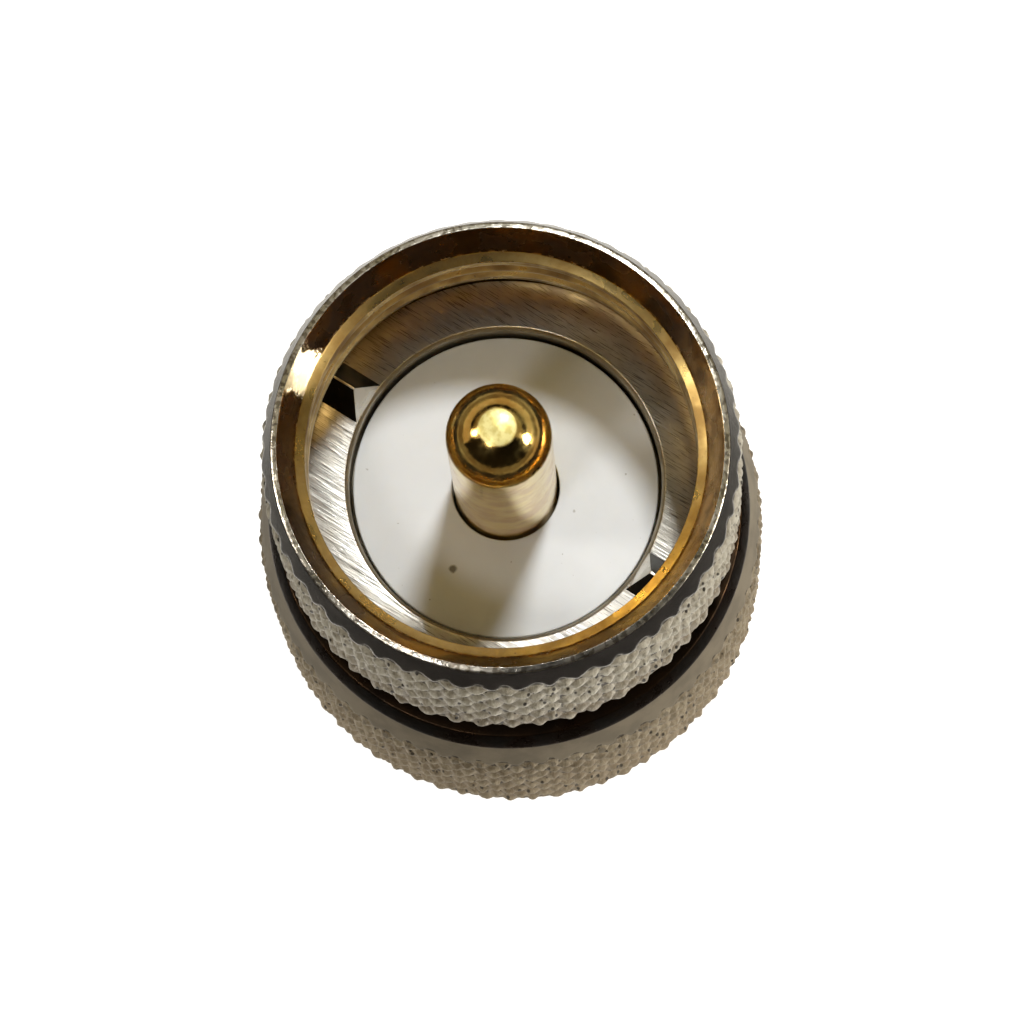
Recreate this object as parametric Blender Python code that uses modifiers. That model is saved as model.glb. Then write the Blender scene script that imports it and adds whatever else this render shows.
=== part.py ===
"""Adapter with a UHF plug at the top and an N plug at the bottom, in metres, +Z up along its axis.

The origin is on the axis, in the plane of the N coupling nut's mouth. The UHF end's two teeth lie on X.
"""
import math

import bmesh
import bpy

# Gap that seated pieces keep from each other.
FIT_GAP = 0.00025

# Coupling nut of the N plug, from its mouth at z = 0 to its back.
NUT_LENGTH = 0.0190
NUT_MOUTH_RADIUS = 0.0090
NUT_MOUTH_LENGTH = 0.0060
NUT_KNURL_RADIUS = 0.0101
NUT_KNURL_LENGTH = 0.0089
NUT_BACK_RADIUS = 0.00973
NUT_THREAD_RADIUS = 0.0076
NUT_THREAD_LENGTH = 0.0072
NUT_RELIEF_RADIUS = 0.0081
NUT_CHAMFER = 0.0004
NUT_KNURL_TEETH = 54

# Coupling ring of the UHF plug.
RING_LENGTH = 0.0107
RING_SPACE = 0.0016
RING_RIM_RADIUS = 0.00855
RING_RIM_FLAT = 0.00022
RING_KNURL_RADIUS = 0.0092
RING_KNURL_LENGTH = 0.0089
RING_CHAMFER_LENGTH = 0.0015
RING_COLLAR_RADIUS = 0.0086
RING_THREAD_RADIUS = 0.0075
RING_THREAD_LENGTH = 0.0034
RING_BEVEL_RADIUS = 0.00788
RING_BEVEL_DEPTH = 0.00135
RING_RELIEF_RADIUS = 0.0080
RING_LIP = 0.0019
RING_KNURL_TEETH = 51

# Knurl of both coupling pieces.
KNURL_DEPTH = 0.00042
KNURL_ANGLE = math.radians(30.0)

# UHF half of the shell, with its flange, its hub in the ring's lip and its stub in the N half.
UHF_FLANGE_CLEARANCE = 0.0003
UHF_FLANGE_THICKNESS = 0.0011
UHF_HUB_RADIUS = 0.0066
UHF_STUB_RADIUS = 0.0058
UHF_STUB_LENGTH = 0.0042
UHF_BORE_RADIUS = 0.0060
UHF_BORE_DEPTH = 0.0019
UHF_BORE_CHAMFER = 0.00023
UHF_CORE_RADIUS = 0.0046
UHF_EDGE_CHAMFER = 0.00015

# Two V-shaped locating teeth on the face of the UHF half.
TOOTH_WIDTH = 0.00175
TOOTH_HEIGHT = 0.0015
TOOTH_SLOPE = 0.0005
TOOTH_ROOT = 0.0003

# N half of the shell.
BARREL_RADIUS = 0.0079
BARREL_PLAY = 0.0005
SHANK_RADIUS = 0.0073
SEAT_HEIGHT = 0.0106
BOSS_RADIUS = 0.0056
BOSS_HEIGHT = 0.0010
CONTACT_POCKET_RADIUS = 0.0052
POCKET_FLOOR = 0.0120
CLIP_HEIGHT = 0.0148

# Snap ring of round wire between the shank and the nut.
CLIP_WIRE_RADIUS = 0.00045
CLIP_OPENING = math.radians(36.0)

# Seal ring of the N plug.
GASKET_WIDTH = 0.0013
GASKET_THICKNESS = 0.0015

# Slotted outer contact of the N plug.
CONTACT_RADIUS = 0.0040
CONTACT_WALL = 0.0005
CONTACT_RECESS = 0.0016
CONTACT_FOOT = 0.0010
CONTACT_SLOTS = 4
CONTACT_SLOT_WIDTH = 0.0005
CONTACT_SLOT_LENGTH = 0.0068

# Insulators.
DISC_RECESS = 0.0008
N_BEAD_RECESS = 0.0089

# Centre contacts.
UHF_PIN_RADIUS = 0.0020
UHF_PIN_REACH = 0.00377
UHF_PIN_SEAT = 0.0008
N_PIN_RADIUS = 0.0008
N_PIN_BODY_RADIUS = 0.00152
N_PIN_RECESS = 0.0010
N_PIN_STEP = 0.0053
N_PIN_TAPER = 0.0009
STEM_RADIUS = 0.00075
STEM_LENGTH = 0.0030

# Number of flat sides round each turned piece.
BODY_SIDES = 48
INNER_SIDES = 32
PIN_SIDES = 24

# Heights that follow from the sizes above.
RING_BACK = NUT_LENGTH + RING_SPACE
RING_RIM = RING_BACK + RING_LENGTH
FLANGE_BACK = RING_BACK + RING_LIP + FIT_GAP
UHF_FACE = FLANGE_BACK + UHF_FLANGE_THICKNESS
BARREL_TOP = RING_BACK - BARREL_PLAY
HUB_BACK = BARREL_TOP + FIT_GAP
STUB_END = HUB_BACK - UHF_STUB_LENGTH
SOCKET_FLOOR = STUB_END - FIT_GAP
DISC_FACE = UHF_FACE - DISC_RECESS
BORE_FLOOR = UHF_FACE - UHF_BORE_DEPTH
UHF_PIN_BACK = STUB_END + UHF_PIN_SEAT + FIT_GAP
CONTACT_FOOT_TOP = POCKET_FLOOR + FIT_GAP + CONTACT_FOOT
UHF_FLANGE_RADIUS = RING_RELIEF_RADIUS - UHF_FLANGE_CLEARANCE


def clear_scene():
    """Remove what the file holds, so that the model stands alone."""
    for item in list(bpy.data.objects):
        bpy.data.objects.remove(item, do_unlink=True)


def make_collection(name):
    collection = bpy.data.collections.new(name)
    bpy.context.scene.collection.children.link(collection)
    return collection


def make_material(name, color, roughness, metallic):
    material = bpy.data.materials.new(name)
    material.use_nodes = True
    shader = material.node_tree.nodes["Principled BSDF"]
    shader.inputs["Base Color"].default_value = (*color, 1.0)
    shader.inputs["Roughness"].default_value = roughness
    shader.inputs["Metallic"].default_value = metallic
    return material


def add_object(name, mesh, material, collection):
    item = bpy.data.objects.new(name, mesh)
    if material:
        mesh.materials.append(material)
    collection.objects.link(item)
    return item


def turn_profile(name, points, sides, material, collection, closed=True):
    """Turn (radius, height) points about Z; they run down the outer side and, if closed, up the bore."""
    mesh = bpy.data.meshes.new(name)
    edges = [(i, i + 1) for i in range(len(points) - 1)]
    if closed:
        edges.append((len(points) - 1, 0))
    mesh.from_pydata([(radius, 0.0, height) for radius, height in points], edges, [])
    item = add_object(name, mesh, material, collection)
    screw = item.modifiers.new("Turn", "SCREW")
    screw.axis = "Z"
    screw.angle = math.tau
    screw.steps = sides
    screw.render_steps = sides
    screw.use_merge_vertices = True
    screw.merge_threshold = 0.00001
    screw.use_smooth_shade = False
    return item


def apply_modifiers(item):
    """Replace the object's mesh with its evaluated one."""
    graph = bpy.context.evaluated_depsgraph_get()
    mesh = bpy.data.meshes.new_from_object(item.evaluated_get(graph))
    item.modifiers.clear()
    old = item.data
    item.data = mesh
    bpy.data.meshes.remove(old)
    mesh.name = item.name


def shade_round(item):
    item.data.shade_smooth()
    item.data.set_sharp_from_angle(angle=math.radians(25.0))


def cut_away(item, cutters):
    for number, cutter in enumerate(cutters):
        cutter.hide_render = True
        cutter.display_type = "WIRE"
        cut = item.modifiers.new(f"Cut {number + 1}", "BOOLEAN")
        cut.operation = "DIFFERENCE"
        cut.object = cutter


def knurl_rows(length, radius, teeth):
    """Number of half diamonds along the band for the knurl's angle."""
    half_pitch = math.pi * radius / teeth
    return max(2, 2 * round(length * math.tan(KNURL_ANGLE) / half_pitch / 2))


def knurl_band(top, bottom, radius, teeth):
    """Profile points down a band that is to be knurled, one for each row of diamond corners."""
    rows = knurl_rows(top - bottom, radius, teeth)
    return [(radius, top + (bottom - top) * row / rows) for row in range(rows + 1)]


def cut_knurl(item, top, bottom, radius, teeth, top_slope, bottom_slope):
    """Sink every second corner of the band, so that crossed grooves leave diamond points.

    At each end of the band a sunk corner slides along the chamfer there: the slope is its height per radius.
    """
    rows = knurl_rows(top - bottom, radius, teeth)
    mesh = bmesh.new()
    mesh.from_mesh(item.data)
    sunk = set()
    band = set()
    for corner in mesh.verts:
        flat = math.hypot(corner.co.x, corner.co.y)
        if abs(flat - radius) > 0.00001 or not bottom - 0.00001 < corner.co.z < top + 0.00001:
            continue
        band.add(corner)
        row = round((top - corner.co.z) / (top - bottom) * rows)
        column = round(math.atan2(corner.co.y, corner.co.x) / math.tau * 2 * teeth)
        if (row + column) % 2:
            sunk.add(corner)
            scale = (radius - KNURL_DEPTH) / radius
            corner.co.x *= scale
            corner.co.y *= scale
            if row == 0:
                corner.co.z += KNURL_DEPTH * top_slope
            if row == rows:
                corner.co.z -= KNURL_DEPTH * bottom_slope
    for face in list(mesh.faces):
        if all(corner in band for corner in face.verts):
            low = [corner for corner in face.verts if corner in sunk]
            bmesh.utils.face_split(face, low[0], low[1])
    mesh.to_mesh(item.data)
    mesh.free()


def make_coupling_nut(material, parts):
    """N coupling nut: plain mouth, knurled band, plain back, thread bore and the groove for the snap ring."""
    knurl_bottom = NUT_MOUTH_LENGTH + NUT_KNURL_RADIUS - NUT_MOUTH_RADIUS
    knurl_top = knurl_bottom + NUT_KNURL_LENGTH
    back_step = NUT_KNURL_RADIUS - NUT_BACK_RADIUS
    back_hole = SHANK_RADIUS + FIT_GAP
    groove_radius = clip_centre() + CLIP_WIRE_RADIUS + FIT_GAP
    groove_half = CLIP_WIRE_RADIUS + FIT_GAP
    mouth_bevel = NUT_RELIEF_RADIUS - NUT_THREAD_RADIUS
    relief_start = mouth_bevel + NUT_THREAD_LENGTH
    relief_end = SEAT_HEIGHT + NUT_CHAMFER
    points = [
        (NUT_BACK_RADIUS - NUT_CHAMFER, NUT_LENGTH),
        (NUT_BACK_RADIUS, NUT_LENGTH - NUT_CHAMFER),
        (NUT_BACK_RADIUS, knurl_top + back_step),
        *knurl_band(knurl_top, knurl_bottom, NUT_KNURL_RADIUS, NUT_KNURL_TEETH),
        (NUT_MOUTH_RADIUS, NUT_MOUTH_LENGTH),
        (NUT_MOUTH_RADIUS, NUT_CHAMFER),
        (NUT_MOUTH_RADIUS - NUT_CHAMFER, 0.0),
        (NUT_RELIEF_RADIUS, 0.0),
        (NUT_THREAD_RADIUS, mouth_bevel),
        (NUT_THREAD_RADIUS, relief_start),
        (NUT_RELIEF_RADIUS, relief_start),
        (NUT_RELIEF_RADIUS, relief_end),
        (back_hole, relief_end),
        (back_hole, CLIP_HEIGHT - groove_half),
        (groove_radius, CLIP_HEIGHT - groove_half),
        (groove_radius, CLIP_HEIGHT + groove_half),
        (back_hole, CLIP_HEIGHT + groove_half),
        (back_hole, NUT_LENGTH),
    ]
    nut = turn_profile("n_coupling_nut", points, 2 * NUT_KNURL_TEETH, material, parts)
    apply_modifiers(nut)
    cut_knurl(nut, knurl_top, knurl_bottom, NUT_KNURL_RADIUS, NUT_KNURL_TEETH, 1.0, 1.0)
    shade_round(nut)


def make_coupling_ring(material, parts):
    """UHF coupling ring: chamfered rim, knurled band, thread bore, relief and the lip that holds it on."""
    knurl_top = RING_RIM - RING_CHAMFER_LENGTH
    knurl_bottom = knurl_top - RING_KNURL_LENGTH
    chamfer_slope = RING_CHAMFER_LENGTH / (RING_KNURL_RADIUS - RING_RIM_RADIUS)
    thread_top = RING_RIM - RING_BEVEL_DEPTH - (RING_BEVEL_RADIUS - RING_THREAD_RADIUS)
    lip_hole = UHF_HUB_RADIUS + FIT_GAP
    points = [
        (RING_RIM_RADIUS, RING_RIM),
        *knurl_band(knurl_top, knurl_bottom, RING_KNURL_RADIUS, RING_KNURL_TEETH),
        (RING_COLLAR_RADIUS, knurl_bottom),
        (RING_COLLAR_RADIUS, RING_BACK),
        (lip_hole, RING_BACK),
        (lip_hole, RING_BACK + RING_LIP),
        (RING_RELIEF_RADIUS, RING_BACK + RING_LIP),
        (RING_RELIEF_RADIUS, thread_top - RING_THREAD_LENGTH),
        (RING_THREAD_RADIUS, thread_top - RING_THREAD_LENGTH),
        (RING_THREAD_RADIUS, thread_top),
        (RING_BEVEL_RADIUS, RING_RIM - RING_BEVEL_DEPTH),
        (RING_RIM_RADIUS - RING_RIM_FLAT, RING_RIM),
    ]
    ring = turn_profile("uhf_coupling_ring", points, 2 * RING_KNURL_TEETH, material, parts)
    apply_modifiers(ring)
    cut_knurl(ring, knurl_top, knurl_bottom, RING_KNURL_RADIUS, RING_KNURL_TEETH, chamfer_slope, 0.0)
    shade_round(ring)


def make_tooth(side, cutters):
    """One V ridge along X, its inner end sloped back, its base sunk into the flange for the union."""
    half = TOOTH_WIDTH / 2
    outer = math.sqrt(UHF_FLANGE_RADIUS ** 2 - half ** 2) - UHF_EDGE_CHAMFER
    inner = UHF_BORE_RADIUS + UHF_BORE_CHAMFER
    outline = bpy.data.curves.new("tooth_outline", "CURVE")
    outline.dimensions = "2D"
    outline.fill_mode = "BOTH"
    outline.extrude = (outer - inner) / 2
    spline = outline.splines.new("POLY")
    spline.use_cyclic_u = True
    corners = [(-half, 0.0), (-half, -TOOTH_ROOT), (half, -TOOTH_ROOT), (half, 0.0), (0.0, TOOTH_HEIGHT)]
    spline.points.add(len(corners) - 1)
    for point, (across, up) in zip(spline.points, corners):
        point.co = (across, up, 0.0, 1.0)
    curve = bpy.data.objects.new("tooth_curve", outline)
    cutters.objects.link(curve)
    curve.location = (side * (outer + inner) / 2, 0.0, UHF_FACE)
    curve.rotation_euler = (math.radians(90.0), 0.0, side * math.radians(90.0))
    bpy.context.view_layer.update()
    mesh = bpy.data.meshes.new_from_object(curve.evaluated_get(bpy.context.evaluated_depsgraph_get()))
    tooth = add_object("tooth_east" if side > 0 else "tooth_west", mesh, None, cutters)
    tooth.matrix_world = curve.matrix_world
    bpy.data.objects.remove(curve, do_unlink=True)
    solid = bmesh.new()
    solid.from_mesh(mesh)
    bmesh.ops.remove_doubles(solid, verts=solid.verts, dist=0.00001)
    for corner in solid.verts:
        place = tooth.matrix_world @ corner.co
        if place.z > UHF_FACE + TOOTH_HEIGHT / 2 and abs(place.x) < (outer + inner) / 2:
            place.x += side * TOOTH_SLOPE
            corner.co = tooth.matrix_world.inverted() @ place
    solid.to_mesh(mesh)
    solid.free()
    return tooth


def make_uhf_body(material, parts, cutters):
    """UHF half of the shell: toothed flange, hub for the ring's lip, stub, stepped bore for the insulator."""
    points = [
        (UHF_FLANGE_RADIUS - UHF_EDGE_CHAMFER, UHF_FACE),
        (UHF_FLANGE_RADIUS, UHF_FACE - UHF_EDGE_CHAMFER),
        (UHF_FLANGE_RADIUS, FLANGE_BACK),
        (UHF_HUB_RADIUS, FLANGE_BACK),
        (UHF_HUB_RADIUS, HUB_BACK),
        (UHF_STUB_RADIUS, HUB_BACK),
        (UHF_STUB_RADIUS, STUB_END),
        (UHF_CORE_RADIUS, STUB_END),
        (UHF_CORE_RADIUS, BORE_FLOOR),
        (UHF_BORE_RADIUS, BORE_FLOOR),
        (UHF_BORE_RADIUS, UHF_FACE - UHF_BORE_CHAMFER),
        (UHF_BORE_RADIUS + UHF_BORE_CHAMFER, UHF_FACE),
    ]
    body = turn_profile("uhf_body", points, BODY_SIDES, material, parts)
    for side in (1, -1):
        tooth = make_tooth(side, cutters)
        tooth.hide_render = True
        tooth.display_type = "WIRE"
        join = body.modifiers.new("Tooth", "BOOLEAN")
        join.operation = "UNION"
        join.object = tooth
    apply_modifiers(body)
    shade_round(body)


def clip_centre():
    """Radius of the snap ring's wire centre, half in the shank's groove and half in the nut's."""
    return SHANK_RADIUS + FIT_GAP / 2


def make_n_body(material, parts):
    """N half of the shell: barrel, grooved shank, seal seat with its boss, pocket and socket inside."""
    groove_radius = clip_centre() - CLIP_WIRE_RADIUS - FIT_GAP
    groove_half = CLIP_WIRE_RADIUS + FIT_GAP
    barrel_back = NUT_LENGTH + FIT_GAP
    points = [
        (BARREL_RADIUS, BARREL_TOP),
        (BARREL_RADIUS, barrel_back),
        (SHANK_RADIUS, barrel_back),
        (SHANK_RADIUS, CLIP_HEIGHT + groove_half),
        (groove_radius, CLIP_HEIGHT + groove_half),
        (groove_radius, CLIP_HEIGHT - groove_half),
        (SHANK_RADIUS, CLIP_HEIGHT - groove_half),
        (SHANK_RADIUS, SEAT_HEIGHT),
        (BOSS_RADIUS, SEAT_HEIGHT),
        (BOSS_RADIUS, SEAT_HEIGHT - BOSS_HEIGHT),
        (CONTACT_RADIUS + FIT_GAP, SEAT_HEIGHT - BOSS_HEIGHT),
        (CONTACT_RADIUS + FIT_GAP, POCKET_FLOOR),
        (CONTACT_POCKET_RADIUS, POCKET_FLOOR),
        (CONTACT_POCKET_RADIUS, SOCKET_FLOOR),
        (UHF_STUB_RADIUS + FIT_GAP, SOCKET_FLOOR),
        (UHF_STUB_RADIUS + FIT_GAP, BARREL_TOP),
    ]
    body = turn_profile("n_body", points, BODY_SIDES, material, parts)
    apply_modifiers(body)
    shade_round(body)


def make_snap_ring(material, parts):
    """Open ring of round spring wire."""
    arc = bpy.data.curves.new("n_snap_ring", "CURVE")
    arc.dimensions = "3D"
    arc.bevel_depth = CLIP_WIRE_RADIUS
    arc.bevel_resolution = 2
    arc.use_fill_caps = True
    spline = arc.splines.new("POLY")
    steps = 28
    spline.points.add(steps)
    for number, point in enumerate(spline.points):
        angle = CLIP_OPENING / 2 + (math.tau - CLIP_OPENING) * number / steps
        point.co = (clip_centre() * math.cos(angle), clip_centre() * math.sin(angle), CLIP_HEIGHT, 1.0)
    arc.materials.append(material)
    ring = bpy.data.objects.new("n_snap_ring", arc)
    parts.objects.link(ring)


def make_gasket(material, parts):
    """Flat seal ring round the boss."""
    inner = BOSS_RADIUS + FIT_GAP
    outer = inner + GASKET_WIDTH
    top = SEAT_HEIGHT - FIT_GAP
    bottom = top - GASKET_THICKNESS
    points = [(outer, top), (outer, bottom), (inner, bottom), (inner, top)]
    gasket = turn_profile("n_gasket", points, BODY_SIDES, material, parts)
    apply_modifiers(gasket)
    shade_round(gasket)


def make_outer_contact(material, parts, cutters):
    """Springy sleeve of the N plug, slotted from its front end, with a foot in the N half's pocket."""
    foot_radius = CONTACT_POCKET_RADIUS - FIT_GAP
    bore = CONTACT_RADIUS - CONTACT_WALL
    nose = CONTACT_WALL / 3
    points = [
        (foot_radius, CONTACT_FOOT_TOP),
        (foot_radius, POCKET_FLOOR + FIT_GAP),
        (CONTACT_RADIUS, POCKET_FLOOR + FIT_GAP),
        (CONTACT_RADIUS, CONTACT_RECESS + nose),
        (CONTACT_RADIUS - nose, CONTACT_RECESS),
        (bore, CONTACT_RECESS),
        (bore, CONTACT_FOOT_TOP),
    ]
    sleeve = turn_profile("n_outer_contact", points, INNER_SIDES, material, parts)
    slots = []
    for number in range(CONTACT_SLOTS):
        angle = math.tau * (number + 0.5) / CONTACT_SLOTS
        bpy.ops.mesh.primitive_cube_add(size=1.0)
        slot = bpy.context.object
        slot.name = f"slot_{number + 1}"
        for corner in slot.data.vertices:
            corner.co.x = corner.co.x * 4 * CONTACT_WALL + CONTACT_RADIUS
            corner.co.y *= CONTACT_SLOT_WIDTH
            corner.co.z = corner.co.z * 2 * CONTACT_SLOT_LENGTH + CONTACT_RECESS
        slot.rotation_euler = (0.0, 0.0, angle)
        for holder in list(slot.users_collection):
            holder.objects.unlink(slot)
        cutters.objects.link(slot)
        slots.append(slot)
    cut_away(sleeve, slots)
    apply_modifiers(sleeve)
    shade_round(sleeve)


def make_uhf_insulator(material, parts):
    """White insulator: a disc in the flange's bore, a stem in the core, a stepped hole for the contacts."""
    disc_radius = UHF_BORE_RADIUS - FIT_GAP
    stem_radius = UHF_CORE_RADIUS - FIT_GAP
    pin_hole = UHF_PIN_RADIUS + FIT_GAP
    stem_hole = N_PIN_BODY_RADIUS + FIT_GAP
    points = [
        (disc_radius, DISC_FACE),
        (disc_radius, BORE_FLOOR + FIT_GAP),
        (stem_radius, BORE_FLOOR + FIT_GAP),
        (stem_radius, STUB_END),
        (stem_hole, STUB_END),
        (stem_hole, UHF_PIN_BACK - FIT_GAP),
        (pin_hole, UHF_PIN_BACK - FIT_GAP),
        (pin_hole, DISC_FACE),
    ]
    disc = turn_profile("uhf_insulator", points, INNER_SIDES, material, parts)
    apply_modifiers(disc)
    shade_round(disc)


def make_n_insulator(material, parts):
    """White bead of the N plug: a nose in the outer contact and a head behind the contact's foot."""
    nose_radius = CONTACT_RADIUS - CONTACT_WALL - FIT_GAP
    head_radius = CONTACT_POCKET_RADIUS - FIT_GAP
    hole = N_PIN_BODY_RADIUS + FIT_GAP
    points = [
        (head_radius, STUB_END - FIT_GAP),
        (head_radius, CONTACT_FOOT_TOP + FIT_GAP),
        (nose_radius, CONTACT_FOOT_TOP + FIT_GAP),
        (nose_radius, CONTACT_RECESS + N_BEAD_RECESS),
        (hole, CONTACT_RECESS + N_BEAD_RECESS),
        (hole, STUB_END - FIT_GAP),
    ]
    bead = turn_profile("n_insulator", points, INNER_SIDES, material, parts)
    apply_modifiers(bead)
    shade_round(bead)


def make_uhf_pin(material, parts):
    """Gold centre pin with a full round tip and a blind socket at the back for the N pin's stem."""
    tip = RING_RIM + UHF_PIN_REACH
    dome_steps = 8
    points = []
    for number in range(dome_steps + 1):
        angle = math.pi / 2 * number / dome_steps
        height = tip - UHF_PIN_RADIUS * (1.0 - math.cos(angle))
        points.append((UHF_PIN_RADIUS * math.sin(angle), height))
    socket = STEM_RADIUS + FIT_GAP
    points += [
        (UHF_PIN_RADIUS, UHF_PIN_BACK),
        (socket, UHF_PIN_BACK),
        (socket, UHF_PIN_BACK + STEM_LENGTH),
        (0.0, UHF_PIN_BACK + STEM_LENGTH),
    ]
    pin = turn_profile("uhf_pin", points, PIN_SIDES, material, parts, closed=False)
    apply_modifiers(pin)
    shade_round(pin)


def make_n_pin(material, parts):
    """Gold centre pin of the N plug: tapered tip, thicker body and a stem that joins the UHF pin."""
    body_top = UHF_PIN_BACK - FIT_GAP
    tip = CONTACT_RECESS + N_PIN_RECESS
    step = CONTACT_RECESS + N_PIN_STEP
    points = [
        (0.0, body_top + STEM_LENGTH),
        (STEM_RADIUS, body_top + STEM_LENGTH),
        (STEM_RADIUS, body_top),
        (N_PIN_BODY_RADIUS, body_top),
        (N_PIN_BODY_RADIUS, step),
        (N_PIN_RADIUS, step),
        (N_PIN_RADIUS, tip + N_PIN_TAPER),
        (N_PIN_RADIUS / 3, tip),
        (0.0, tip),
    ]
    pin = turn_profile("n_pin", points, PIN_SIDES, material, parts, closed=False)
    apply_modifiers(pin)
    shade_round(pin)


def build_adapter():
    clear_scene()
    parts = make_collection("n_plug_adapter")
    cutters = make_collection("n_plug_adapter_cutters")
    ring_metal = make_material("ring_nickel", (0.42, 0.39, 0.33), 0.32, 1.0)
    nut_metal = make_material("nut_nickel", (0.42, 0.39, 0.33), 0.34, 1.0)
    uhf_metal = make_material("uhf_body_nickel", (0.46, 0.43, 0.37), 0.28, 1.0)
    n_metal = make_material("n_body_nickel", (0.42, 0.39, 0.33), 0.34, 1.0)
    contact_metal = make_material("contact_nickel", (0.46, 0.43, 0.37), 0.28, 1.0)
    wire = make_material("spring_bronze", (0.50, 0.30, 0.16), 0.35, 1.0)
    rubber = make_material("silicone", (0.45, 0.09, 0.05), 0.60, 0.0)
    uhf_white = make_material("uhf_ptfe", (0.76, 0.77, 0.77), 0.42, 0.0)
    n_white = make_material("n_ptfe", (0.76, 0.77, 0.77), 0.42, 0.0)
    uhf_gold = make_material("uhf_pin_gold", (0.83, 0.57, 0.17), 0.16, 1.0)
    n_gold = make_material("n_pin_gold", (0.83, 0.57, 0.17), 0.18, 1.0)
    make_coupling_ring(ring_metal, parts)
    make_coupling_nut(nut_metal, parts)
    make_uhf_body(uhf_metal, parts, cutters)
    make_n_body(n_metal, parts)
    make_outer_contact(contact_metal, parts, cutters)
    make_snap_ring(wire, parts)
    make_gasket(rubber, parts)
    make_uhf_insulator(uhf_white, parts)
    make_n_insulator(n_white, parts)
    make_uhf_pin(uhf_gold, parts)
    make_n_pin(n_gold, parts)


build_adapter()
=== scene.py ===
"""Looks of a straight coaxial adapter: a UHF plug on top, and an N plug below, on whose nut it stands."""
import math

import bpy
import numpy as np
from mathutils import Matrix, Vector


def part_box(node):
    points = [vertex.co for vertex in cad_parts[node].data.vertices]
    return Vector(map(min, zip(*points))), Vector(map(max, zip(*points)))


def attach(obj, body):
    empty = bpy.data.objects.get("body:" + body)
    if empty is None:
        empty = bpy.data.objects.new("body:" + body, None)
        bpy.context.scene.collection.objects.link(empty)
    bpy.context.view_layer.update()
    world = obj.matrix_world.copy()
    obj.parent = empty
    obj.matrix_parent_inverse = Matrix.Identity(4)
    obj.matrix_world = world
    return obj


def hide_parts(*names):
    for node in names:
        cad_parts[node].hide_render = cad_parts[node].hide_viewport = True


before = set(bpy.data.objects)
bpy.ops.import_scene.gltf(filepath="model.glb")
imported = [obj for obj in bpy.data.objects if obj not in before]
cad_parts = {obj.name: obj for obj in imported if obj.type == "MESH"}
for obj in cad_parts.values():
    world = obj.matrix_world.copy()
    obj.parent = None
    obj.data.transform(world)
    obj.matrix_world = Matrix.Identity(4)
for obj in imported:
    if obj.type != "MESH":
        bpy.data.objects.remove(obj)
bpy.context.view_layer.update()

# The studio: a camera almost over the UHF end, a white sweep under the N nut's mouth, four soft lamps, and
# black, dim and pale cards round the adapter, underfoot and overhead, which the bare metal mirrors.
CAMERA_AZIMUTH = math.radians(-49.85)
CAMERA_ELEVATION = math.radians(79.03)
CAMERA_ROLL = math.radians(7.92)
CAMERA_DISTANCE = 0.250
CAMERA_LENS = 227.6
CAMERA_SENSOR = 36.0
AIM_HEIGHT = 0.02496
AIM_PIXEL = (504.4, 477.8)
IMAGE_PIXELS = 1024
PANELS = 64
BAND_HOLE = 0.0001
FLOOR_HEIGHT = -0.00005
FLOOR_MIDDLE = 0.10
FLOOR_RADIUS = 1.5
BACKDROP_RADIUS = 1.52
BACKDROP_HEIGHT = 0.82
SWEEP_WHITE = (0.42, 0.41, 0.39)
FLOOR_GLOW = 0.92
BACKDROP_GLOW = 0.86
CARD_RADIUS = 0.62
LOW_CARD_TOP = 0.12
SOFT_CARD_TOP = 0.34
BLACK_CARD_TOP = 0.36
LINE_CARD_TOP = 0.46
ROOF_HEIGHT = 0.76
ROOF_RADIUS = 0.25
FOOT_CARD_HEIGHT = 0.0003
FOOT_CARD_RADIUS = 0.20
CARD_TONE = (0.022, 0.020, 0.020)
DIM_TONE = (0.30, 0.27, 0.23)
SOFT_TONE = (0.90, 0.82, 0.70)
PATCH_TONE = (0.8, 0.8, 0.8)
WHITE_PATCH = 0.020
DARK_FROM = 0.031
CAMERA_SIDE = list(range(40, PANELS)) + list(range(3))
FAR_SIDE = list(range(3, 40))
LAMP_DISTANCE = 0.50
LAMPS = [("key", 103.0, 59.0, 0.085, 1.75, (0.96, 0.99, 1.0)),
         ("front", -96.0, 61.0, 0.08, 0.35, (1.0, 0.98, 0.95)),
         ("right", 24.0, 24.0, 0.13, 2.00, (1.0, 0.95, 0.85)),
         ("left", -150.0, 39.0, 0.11, 0.60, (1.0, 0.96, 0.90))]
ROOM_LIGHT = (1.0, 0.84, 0.46)
ROOM_STRENGTH = 0.24


def direction(azimuth, elevation):
    """Unit vector from the adapter towards an azimuth and an elevation, in radians."""
    level = math.cos(elevation)
    return Vector((level * math.cos(azimuth), level * math.sin(azimuth), math.sin(elevation)))


def placed(name, data):
    """A new object of the scene from its data."""
    thing = bpy.data.objects.new(name, data)
    bpy.context.scene.collection.objects.link(thing)
    return thing


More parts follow.
